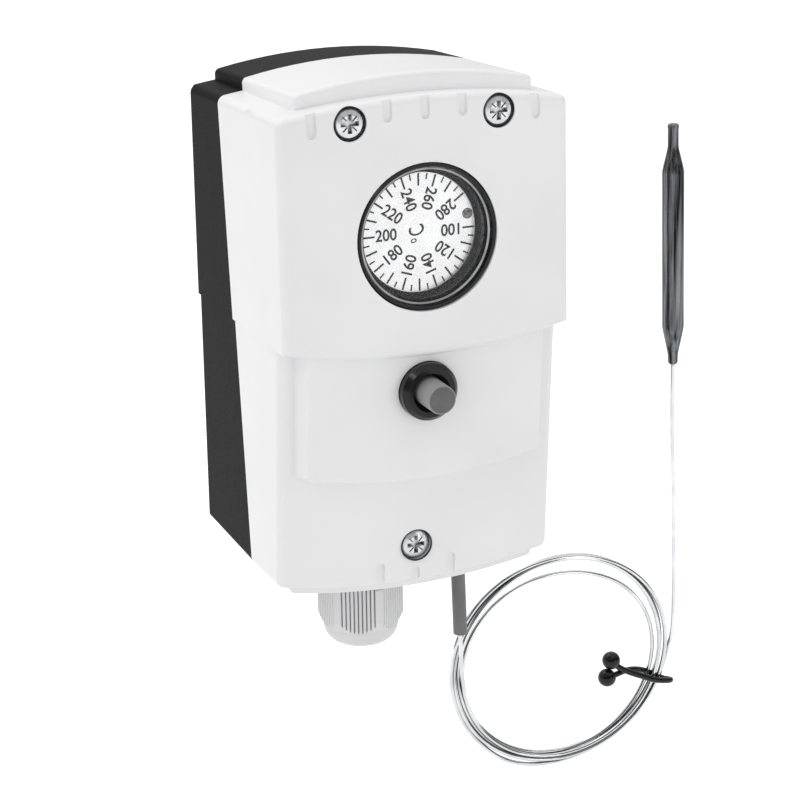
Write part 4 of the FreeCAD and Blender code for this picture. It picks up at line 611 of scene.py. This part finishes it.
@dataclass
class PhotoView:
    """Camera, floor and light.

    The camera's place and lens come from a fit of the housing's edges in the photograph.

    Attributes:
        place_mm: Where the camera stands.
        yaw: Its turn to the right of +Y.
        pitch: Its turn downwards.
        roll: Its turn round its own line of sight.
        focal_px: Focal length in pixels of the photograph.
        sensor_mm: Width of the sensor.
        nearest: Distance from which the camera sees things.
        aim: The point that the lamps are aimed at.
        floor_height: Height of the floor, just under the coil.
        floor_reach: Half the length of the floor's sides.
        floor_glow: Light that the floor adds for the camera, as an overexposed backdrop does.
        floor_mirror_share: Share of that light for mirror-like surfaces.
        fill: Light of the white tent on dull surfaces.
        tent_rise: Direction in which the tent gets brighter for mirror-like surfaces.
        tent_from: Lowest and highest part of that direction where the light changes.
        tent_to: The light there.
    """

    place_mm: Place = (-218.45, -582.77, 222.71)
    yaw: float = 0.385735
    pitch: float = 0.304012
    roll: float = -0.015283
    focal_px: float = 2481.7
    sensor_mm: float = 36.0
    nearest: float = 0.01
    aim: Place = (0.03, -0.02, 0.02)
    floor_height: float = -0.0893
    floor_reach: float = 3.0
    floor_glow: float = 0.45
    floor_mirror_share: float = 0.9
    fill: float = 0.78
    tent_rise: Place = (0.0, 0.4, 1.0)
    tent_from: tuple[float, float] = (0.15, 0.75)
    tent_to: tuple[float, float] = (0.02, 1.1)

    def axes(self) -> tuple[Vector, Vector, Vector]:
        """Gives the camera's right, up and forward directions from yaw, pitch and roll."""
        forward = Vector((
            math.sin(self.yaw) * math.cos(self.pitch),
            math.cos(self.yaw) * math.cos(self.pitch),
            -math.sin(self.pitch),
        ))
        right = Vector((math.cos(self.yaw), -math.sin(self.yaw), 0.0))
        up = right.cross(forward)
        turned = math.cos(self.roll) * right + math.sin(self.roll) * up
        return turned, turned.cross(forward), forward

    def build_camera(self) -> None:
        """Places the camera and makes it the scene's own."""
        right, up, forward = self.axes()
        data = bpy.data.cameras.new("photo_camera")
        data.sensor_width = self.sensor_mm
        data.lens = self.focal_px * self.sensor_mm / IMAGE_WIDTH_PX
        data.clip_start = self.nearest
        camera = bpy.data.objects.new("photo_camera", data)
        turn = Matrix((right, up, -forward)).transposed().to_4x4()
        camera.matrix_world = Matrix.Translation(Vector(self.place_mm) * MM) @ turn
        bpy.context.scene.collection.objects.link(camera)
        bpy.context.scene.camera = camera

    def build_floor(self) -> None:
        """Lays a pale floor under the lowest point of the coil."""
        reach = self.floor_reach
        corners = [(-reach, -reach), (reach, -reach), (reach, reach), (-reach, reach)]
        mesh = bpy.data.meshes.new("floor")
        mesh.from_pydata([(x, y, self.floor_height) for x, y in corners], [], [(0, 1, 2, 3)])
        floor = bpy.data.objects.new("floor", mesh)
        bpy.context.scene.collection.objects.link(floor)
        material = bpy.data.materials.new("pale_floor")
        material.use_nodes = True
        tree = material.node_tree
        tree.nodes.clear()
        rays = add_node(tree, "ShaderNodeLightPath")
        seen = add_node(
            tree, "ShaderNodeMath", {"operation": "MULTIPLY_ADD", 1: self.floor_mirror_share},
            {0: rays.outputs["Is Glossy Ray"], 2: rays.outputs["Is Camera Ray"]},
        )
        diffuse = add_node(tree, "ShaderNodeBsdfDiffuse", {"Color": linear("#F4F4F4")})
        glow = add_node(
            tree, "ShaderNodeEmission", {"Color": WHITE, "Strength": self.floor_glow}
        )
        both = add_node(
            tree, "ShaderNodeAddShader", links={0: diffuse.outputs[0], 1: glow.outputs[0]}
        )
        blend = add_node(
            tree, "ShaderNodeMixShader",
            links={"Fac": seen.outputs[0], 1: diffuse.outputs[0], 2: both.outputs[0]},
        )
        add_node(tree, "ShaderNodeOutputMaterial", links={"Surface": blend.outputs[0]})
        mesh.materials.append(material)

    def build_light(self) -> None:
        """Adds a white light tent and the lamps for the shading and the highlights.

        Mirror-like surfaces see the tent bright above and behind, and dark in front at eye
        level, which gives bright metal its contrast.
        """
        world = bpy.data.worlds.new("studio")
        bpy.context.scene.world = world
        world.use_nodes = True
        tree = world.node_tree
        tree.nodes.clear()
        rays = add_node(tree, "ShaderNodeLightPath")
        seen = add_node(
            tree, "ShaderNodeMath", {"operation": "MAXIMUM"},
            {0: rays.outputs["Is Camera Ray"], 1: rays.outputs["Is Transmission Ray"]},
        )
        fill = add_node(tree, "ShaderNodeBackground", {"Color": WHITE, "Strength": self.fill})
        white = add_node(tree, "ShaderNodeBackground", {"Color": WHITE, "Strength": 1.0})
        rise = add_node(
            tree, "ShaderNodeVectorMath", {"operation": "DOT_PRODUCT", 1: self.tent_rise},
            {0: add_node(tree, "ShaderNodeTexCoord").outputs["Generated"]},
        )
        tent = add_node(
            tree, "ShaderNodeMapRange",
            {
                "From Min": self.tent_from[0], "From Max": self.tent_from[1],
                "To Min": self.tent_to[0], "To Max": self.tent_to[1],
            },
            {"Value": rise.outputs["Value"]},
        )
        mirrored = add_node(
            tree, "ShaderNodeBackground", {"Color": WHITE}, {"Strength": tent.outputs["Result"]}
        )
        tented = add_node(
            tree, "ShaderNodeMixShader",
            links={
                "Fac": rays.outputs["Is Glossy Ray"], 1: fill.outputs[0],
                2: mirrored.outputs[0],
            },
        )
        mixed = add_node(
            tree, "ShaderNodeMixShader",
            links={"Fac": seen.outputs[0], 1: tented.outputs[0], 2: white.outputs[0]},
        )
        add_node(tree, "ShaderNodeOutputWorld", links={"Surface": mixed.outputs[0]})
        for lamp in LAMPS:
            lamp.build(self.aim)

    def build(self) -> None:
        """Builds the camera, floor and light and sets the plain view transform."""
        self.build_camera()
        self.build_floor()
        self.build_light()
        bpy.context.scene.view_settings.view_transform = "Standard"
        LOG.info("camera, floor and light are set")


# From the sleeve's end down to the first turn.
LEAD_ROUTE_MM = [
    (29.9, -12.0, -40.0), (30.07, -12.0, -45.5), (30.8, -10.4, -51.5), (32.6, -7.8, -58.5),
]
# From the last turn up and into the bulb.
RISE_ROUTE_MM = [
    (96.0, -6.8, -59.2), (97.9, -6.5, -54.0), (98.5, -6.0, -45.0), (98.8, -5.0, -30.0),
    (98.7, -4.2, -9.0), (97.9, -4.0, 8.0), (97.9, -4.0, 25.4), (97.26, -4.0, 60.0),
]


@dataclass
class Capillary:
    """The free capillary: one tube from the sleeve, round the coil and up to the bulb.

    Attributes:
        diameter: Thickness of the tube.
        centre_mm: Middle of the coil.
        radius_mm: Radius of its middle turn.
        width_scale: How much wider than round the coil is.
        height_scale: How much higher.
        first_angle: Angle where the turns begin, counter-clockwise from the right.
        last_angle: Angle where they end.
        start_angle: Angle from which the turns are counted.
        middle_turn: Number of the turn whose radius is radius_mm.
        points_per_turn: Points of the route on one turn.
        spacing_mm: Mean distance between turns.
        spacing_waves_mm: How it changes with cos t, sin t, cos 2t and sin 2t.
        bells_mm: Height, turn and width of each bell curve in the radius.
        waves_mm: Height, pace and start of each slow wave in the radius.
        depth_mm: How far the turns swing to the front and back.
    """

    diameter: float = 1.2 * MM
    centre_mm: Place = (62.45, -7.0, -55.2)
    radius_mm: float = 31.0
    width_scale: float = 1.03
    height_scale: float = 0.9753
    first_angle: float = math.radians(195)
    last_angle: float = math.radians(343 + 4 * 360)
    start_angle: float = math.radians(187)
    middle_turn: float = 2.2
    points_per_turn: int = 18
    spacing_mm: float = 0.72
    spacing_waves_mm: tuple[float, ...] = (-0.08, -0.06, 0.17, -0.12)
    bells_mm: tuple[tuple[float, float, float], ...] = ((-4.0, 0.70, 0.18), (1.9, 4.17, 0.06))
    waves_mm: tuple[tuple[float, float, float], ...] = ((0.22, 2.3, 0.0), (0.12, 3.7, 1.0))
    depth_mm: float = 0.75

    def turn_points(self) -> np.ndarray:
        """Works out the turns, which differ in size and pass beside and over each other.

        With k the turns made so far and t the angle, the radius is r + s(t) (k - k0), where
        k0 is the middle turn. The spacing s(t) is its mean plus waves of t and 2t, tight at
        the top and wide at the left. One bell curve of k pulls the first turn in at the top,
        another lets the last one bulge at the lower left, and two slow waves of t keep the
        turns from being true circles. The depth, d sin(pi k), lays each turn beside the last.

        Returns:
            Rows of X, Y and Z in millimetres.
        """
        count = round((self.last_angle - self.first_angle) / math.tau * self.points_per_turn)
        angle = np.linspace(self.first_angle, self.last_angle, count)
        turn = (angle - self.start_angle) / math.tau
        terms = (np.cos(angle), np.sin(angle), np.cos(2 * angle), np.sin(2 * angle))
        spacing = self.spacing_mm + np.column_stack(terms) @ np.array(self.spacing_waves_mm)
        radius = self.radius_mm + spacing * (turn - self.middle_turn)
        for height, middle, width in self.bells_mm:
            radius += height * np.exp(-(((turn - middle) / width) ** 2))
        for height, pace, start in self.waves_mm:
            radius += height * np.sin(pace * angle + start)
        x = self.centre_mm[0] + self.width_scale * radius * np.cos(angle)
        y = self.centre_mm[1] + self.depth_mm * np.sin(math.pi * turn)
        z = self.centre_mm[2] + self.height_scale * radius * np.sin(angle)
        return np.column_stack((x, y, z))

    def build(self, with_pieces: list[bpy.types.Object]) -> bpy.types.Object:
        """Args:
            with_pieces: The bulb and the tie; not used.

        Returns:
            The tube.
        """
        route = np.vstack((LEAD_ROUTE_MM, self.turn_points(), RISE_ROUTE_MM)) * MM
        curve = round_line("capillary_tube", route, self.diameter / 2, sides=4, steps=6)
        curve.materials.append(DRAWN_STAINLESS.material())
        tube = add_piece("capillary_tube", curve, "housing")
        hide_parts("capillary_lead", "capillary_coil", "capillary_rise")
        return tube


# The tie's cord, from the upper ball round the outside of the bundle to the lower ball.
TIE_ROUTE_MM = [
    (78.2, -9.2, -58.9), (79.6, -9.3, -60.3), (83.1, -9.7, -62.3), (87.6, -9.9, -64.3),
    (90.9, -9.9, -65.9), (94.4, -9.6, -66.8), (96.4, -9.1, -67.2), (97.3, -7.2, -67.9),
    (95.8, -5.2, -68.2), (91.7, -4.7, -65.6), (87.6, -6.4, -63.3), (83.1, -8.0, -62.0),
    (79.6, -9.0, -62.2), (77.4, -9.2, -62.6),
]


@dataclass
class CoilTie:
    """Elastic cord with two balls that holds the coil together.

    The cord runs from the upper ball over the front of the bundle, turns round its outside
    and comes back behind it to the lower ball.

    Attributes:
        ball_radius_mm: Radius of the balls.
        ball_rows: Facets of a ball from pole to pole.
        ball_steps: Facets round it.
        cord_radius: Half the cord's thickness.
        balls_mm: Centres of the balls.
    """

    ball_radius_mm: float = 2.55
    ball_rows: int = 32
    ball_steps: int = 48
    cord_radius: float = 0.85 * MM
    balls_mm: tuple[Place, ...] = ((77.25, -9.2, -57.7), (76.0, -9.2, -62.7))

    def cord_surface(self) -> tuple[np.ndarray, list[list[int]]]:
        """Sweeps the cord along its given route.

        Returns:
            Its points and faces.
        """
        route = np.array(TIE_ROUTE_MM) * MM
        curve = round_line("tie_cord", route, self.cord_radius, sides=5, steps=10)
        curve.use_fill_caps = True
        mesh = mesh_of(curve)
        points = np.empty(len(mesh.vertices) * 3)
        mesh.vertices.foreach_get("co", points)
        return points.reshape(-1, 3), [list(face.vertices) for face in mesh.polygons]

    def build(self) -> bpy.types.Object:
        """Builds the cord and its balls as one piece.

        A ball's profile is r sin s from the line and r cos s along it, for s from 0 to pi.

        Returns:
            The tie.
        """
        points, faces = self.cord_surface()
        arc = np.linspace(0.0, math.pi, self.ball_rows + 1)
        profile = self.ball_radius_mm * np.column_stack((np.sin(arc), np.cos(arc)))
        for place in self.balls_mm:
            ball, skin = turned_surface(profile, place, UP, self.ball_steps, len(points))
            points = np.vstack((points, ball))
            faces += skin
        tie = mesh_piece("coil_tie_cord", points, faces, TIE_PVC, "housing")
        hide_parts("coil_tie")
        LOG.info("coil tie: cord and %d balls", len(self.balls_mm))
        return tie


@dataclass
class Window:
    """What is seen through the window beside the print: lens edge with a painted highlight, disc,
    and stop pin with a ring of painted shade round it.

    Attributes:
        foot_mm: The dial's axis, at the wall plane.
        lens_edge_mm: The lens edge's section: radius, and distance to the front.
        dial_radius_mm: Radius of the disc.
        dial_back_mm: Distance of its back from the wall plane.
        chamfer_mm: Width of the chamfer round its front.
        pin_reach_mm: Distance of the pin from the dial's axis.
        pin_angle: Its angle at rest, counter-clockwise from the right.
        pin_radius_mm: Its radius.
        pin_dome: Share of that radius, and height over the disc, along the pin's domed head.
        gap_mm: Section of the ring of painted shade in the gap round it, from the pin's radius
            and the disc's face.
    """

    foot_mm: Place = (0.0, 0.0, DIAL_HEIGHT_MM)
    lens_edge_mm: tuple[tuple[float, float], ...] = (
        (15.88, 62.48), (16.3, 62.58), (16.3, 62.48), (15.88, 62.28),
    )
    dial_radius_mm: float = 14.5
    dial_back_mm: float = 57.6
    chamfer_mm: float = 0.1
    pin_reach_mm: float = 12.9
    pin_angle: float = math.radians(15)
    pin_radius_mm: float = 1.15
    pin_dome: tuple[tuple[float, float], ...] = ((0.0, 0.22), (0.7, 0.17), (1.0, 0.02))
    gap_mm: tuple[tuple[float, float], ...] = (
        (0.16, 0.02), (0.16, -0.1), (-0.05, -0.1), (-0.05, 0.02),
    )

    def build(self) -> None:
        """Builds the lens edge with its painted highlight, the disc, the pin and the ring of
        painted shade round it.
        """
        # The lens edge carries a painted highlight in its pale colour.
        turned_piece(
            "lens_edge", list(self.lens_edge_mm), self.foot_mm, LENS_EDGE_HIGHLIGHT, "housing"
        )
        rim, face, back = self.dial_radius_mm, DIAL_FACE_MM, self.dial_back_mm
        disc = turned_piece(
            "dial_disc",
            [(0.0, face), (rim - self.chamfer_mm, face), (rim, face - self.chamfer_mm),
             (rim, back), (0.0, back)],
            self.foot_mm, TURNED_ALUMINIUM, "dial_set",
        )
        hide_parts("dial")
        pin_foot = (
            self.foot_mm[0] + self.pin_reach_mm * math.cos(self.pin_angle), 0.0,
            self.foot_mm[2] + self.pin_reach_mm * math.sin(self.pin_angle),
        )
        radius = self.pin_radius_mm
        dome = [(radius * share, face + height) for share, height in self.pin_dome]
        pin = turned_piece(
            "stop_pin_head", [*dome, (radius, back), (0.0, back)], pin_foot, PIN_STEEL,
            "dial_set", steps=40,
        )
        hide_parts("dial_stop_pin")
        # A ring of painted shade lies in the gap round the pin's head.
        turned_piece(
            "stop_pin_painted_shade", [(radius + out, face + height) for out, height in self.gap_mm],
            pin_foot, PRINT_INK_AND_PAINTED_SHADE, "dial_set", steps=40,
        )
        LOG.info("window: lens edge, disc and pin")


@dataclass
class SmallParts:
    """The bulb with its slight lean, the button, and rings of painted shade in the gaps round the
    screw heads.

    Attributes:
        bulb_foot_mm: Lower end of the bulb.
        bulb_axis: Its direction, one degree from upright.
        bulb_mm: Radius along the bulb, and height over its foot, from the top down.
        button_foot_mm: The button's axis, at the wall plane.
        cap_mm: Section of the button's cap, from its front backwards.
        face_mm: Section of the darker skin on its front.
        screws_mm: X and Z of each screw, and the distance of its head's front.
        gap_mm: Section of a painted shade ring in a gap, as radius and distance to the head's
            front.
    """

    bulb_foot_mm: Place = (97.9, -4.0, 25.4)
    bulb_axis: Place = (-0.0185, 0.0, 1.0)
    bulb_mm: tuple[tuple[float, float], ...] = (
        (0.0, 67.0), (1.2, 67.0), (1.5, 66.7), (1.56, 66.2), (1.47, 65.7), (1.47, 61.2),
        (1.62, 60.0), (2.1, 58.0), (2.7, 55.6), (2.97, 54.2), (3.0, 53.4), (3.0, 11.2),
        (2.96, 10.4), (2.5, 8.0), (1.75, 4.3), (1.45, 2.8), (1.4, 2.0), (1.4, 0.5),
        (1.1, 0.0), (0.0, 0.0),
    )
    button_foot_mm: Place = (0.0, 0.0, 47.0)
    cap_mm: tuple[tuple[float, float], ...] = (
        (0.0, 71.24), (3.2, 71.24), (3.3, 71.27), (3.46, 71.21), (3.54, 71.01), (3.7, 58.3),
        (0.0, 58.3),
    )
    face_mm: tuple[tuple[float, float], ...] = (
        (0.0, 71.29), (3.2, 71.29), (3.26, 71.23), (0.0, 71.23),
    )
    screws_mm: tuple[tuple[float, float, float], ...] = (
        (-18.6, 112.9, 62.86), (18.6, 112.9, 62.86), (0.0, 4.8, 54.66),
    )
    gap_mm: tuple[tuple[float, float], ...] = (
        (3.84, -0.3), (4.08, -0.3), (4.08, -0.8), (3.84, -0.8),
    )

    def build_button(self) -> None:
        """Builds the slightly tapered button cap and its darker front."""
        cap = turned_piece(
            "button_cap", list(self.cap_mm), self.button_foot_mm, BUTTON_PA, "reset",
        )
        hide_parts("reset_button")
        turned_piece(
            "button_face", list(self.face_mm), self.button_foot_mm, BUTTON_FACE, "reset",
        )

    def build_gaps(self) -> None:
        """Lays a ring of painted shade in the narrow gap round each screw head."""
        for number, (x, z, front) in enumerate(self.screws_mm, 1):
            turned_piece(
                f"screw_painted_shade_{number}", [(radius, front + back) for radius, back in self.gap_mm],
                (x, 0.0, z), PRINT_INK_AND_PAINTED_SHADE, "housing",
            )

    def build(self) -> bpy.types.Object:
        """Builds them all.

        Returns:
            The bulb, drawn down to a neck at both ends, which ends the cord.
        """
        bulb = turned_piece(
            "sensor_bulb_drawn", list(self.bulb_mm), self.bulb_foot_mm, BULB_STREAKS_AND_REFLECTION, "housing",
            axis=self.bulb_axis,
        )
        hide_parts("sensor_bulb")
        self.build_button()
        self.build_gaps()
        LOG.info("bulb, button and %d screw gaps", len(self.screws_mm))
        return bulb


@dataclass(frozen=True)
class Lettering:
    """Form of a printed word.

    Attributes:
        height_mm: Height of its figures.
        align: Where its anchor lies along the word.
        width: Width of the letters against the font's own.
        weight_mm: How much the strokes are thickened.
    """

    height_mm: float
    align: str
    width: float
    weight_mm: float


FIGURE_LETTERING = Lettering(2.85, "RIGHT", 0.92, 0.07)
UNIT_LETTERING = Lettering(4.0, "CENTER", 0.68, 0.03)
FONT_FIGURE_SHARE = 0.72


@dataclass
class DialPrint:
    """Figures and strokes printed on the scale disc.

    Attributes:
        lowest: First value of the scale, at the right.
        highest: Its last value.
        stroke_every: Values between two strokes.
        figure_every: Values between two figures.
        value_angle: Angle of one value, clockwise.
        ink_mm: Thickness of the ink.
        ink_root_mm: How far a stroke goes into the disc.
        figure_end_mm: Distance of a figure's end from the centre.
        unit_mm: Place of the unit from the centre.
        unit_turn: Its rotation, counter-clockwise.
        rim_mm: Distance of the strokes' outer ends from the centre.
        long_mm: Length of every second stroke.
        short_mm: Length of the others.
        stroke_mm: Width of the long strokes.
        short_share: Width of the short ones against that.
    """

    lowest: int = 100
    highest: int = 280
    stroke_every: int = 5
    figure_every: int = 20
    value_angle: float = math.radians(1.8)
    ink_mm: float = 0.03
    ink_root_mm: float = 0.01
    figure_end_mm: float = 5.6
    unit_mm: tuple[float, float] = (-0.15, -0.15)
    unit_turn: float = math.radians(106)
    rim_mm: float = 14.2
    long_mm: float = 3.0
    short_mm: float = 1.5
    stroke_mm: float = 0.46
    short_share: float = 0.78

    def strokes(self) -> tuple[np.ndarray, list[list[int]]]:
        """Gives thin upright bars from the rim inwards.

        The bar for value v lies at the angle -(v - lowest) times the angle of one value.
        Every second bar is long.

        Returns:
            Points and quad faces of the bars.
        """
        values = np.arange(self.lowest, self.highest + 1, self.stroke_every)
        angle = -(values - self.lowest) * self.value_angle
        is_long = (values - self.lowest) % (2 * self.stroke_every) == 0
        inner = self.rim_mm - np.where(is_long, self.long_mm, self.short_mm)
        half = self.stroke_mm / 2 * np.where(is_long, 1.0, self.short_share)
        corners = []
        for depth in (DIAL_FACE_MM - self.ink_root_mm, DIAL_FACE_MM + self.ink_mm):
            for along, side in (
                (inner, -half), (self.rim_mm, -half), (self.rim_mm, half), (inner, half)
            ):
                x = along * np.cos(angle) - side * np.sin(angle)
                z = DIAL_HEIGHT_MM + along * np.sin(angle) + side * np.cos(angle)
                corners.append(np.column_stack((x, np.full_like(x, -depth), z)))
        points = np.stack(corners, axis=1).reshape(-1, 3) * MM
        box = np.array([
            (4, 5, 6, 7), (3, 2, 1, 0), (0, 1, 5, 4), (1, 2, 6, 5), (2, 3, 7, 6), (3, 0, 4, 7),
        ])
        first = np.arange(len(values))[:, None, None] * len(corners)
        return points, (box[None] + first).reshape(-1, 4).tolist()

    def add_text(self, words: str, x: float, z: float, turn: float, form: Lettering) -> None:
        """Adds one word as a thin solid on the disc.

        Args:
            words: The text.
            x: Place of its anchor from the dial's centre in millimetres.
            z: The same, upwards.
            turn: Rotation in radians, counter-clockwise.
            form: Its lettering.
        """
        name = "dial_figure_" + (words if words.isdigit() else "unit")
        curve = bpy.data.curves.new(name, "FONT")
        curve.body = words
        curve.size = form.height_mm * MM / FONT_FIGURE_SHARE
        curve.align_x = form.align
        curve.align_y = "CENTER"
        curve.extrude = self.ink_mm * MM
        curve.offset = form.weight_mm * MM
        mesh = mesh_of(curve)
        mesh.transform(
            Matrix.Translation((x * MM, -DIAL_FACE_MM * MM, (DIAL_HEIGHT_MM + z) * MM))
            @ Matrix.Rotation(math.pi / 2, 4, "X")
            @ Matrix.Rotation(turn, 4, "Z")
            @ Matrix.Diagonal((form.width, 1.0, 1.0, 1.0))
        )
        mesh.name = name
        mesh.materials.clear()
        mesh.materials.append(PRINT_INK_AND_PAINTED_SHADE.material())
        add_piece(name, mesh, "dial_set")

    def build(self) -> None:
        """Prints the bars, the figures and the unit."""
        points, faces = self.strokes()
        mesh_piece("dial_strokes", points, faces, PRINT_INK_AND_PAINTED_SHADE, "dial_set")
        for value in range(self.lowest, self.highest + 1, self.figure_every):
            angle = -(value - self.lowest) * self.value_angle
            self.add_text(
                str(value), self.figure_end_mm * math.cos(angle),
                self.figure_end_mm * math.sin(angle), angle + math.pi, FIGURE_LETTERING,
            )
        self.add_text("°C", *self.unit_mm, self.unit_turn, UNIT_LETTERING)
        LOG.info("dial print: %d bar faces, the figures and the unit", len(faces))


def finish_nodes() -> None:
    """Puts the real materials on the nodes of the construction."""
    for node, finish in NODE_FINISH.items():
        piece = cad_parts[node]
        material = finish.material()
        if not piece.material_slots:
            piece.data.materials.append(material)
        for slot in piece.material_slots:
            slot.material = material
    LOG.info("finishes: %d nodes", len(NODE_FINISH))


def main() -> None:
    """Builds the view, the cord with its fittings, the window, the print and the finishes."""
    PhotoView().build()
    tie = CoilTie().build()
    Capillary().build([SmallParts().build(), tie])
    Window().build()
    DialPrint().build()
    finish_nodes()


if __name__ == "__main__":
    main()
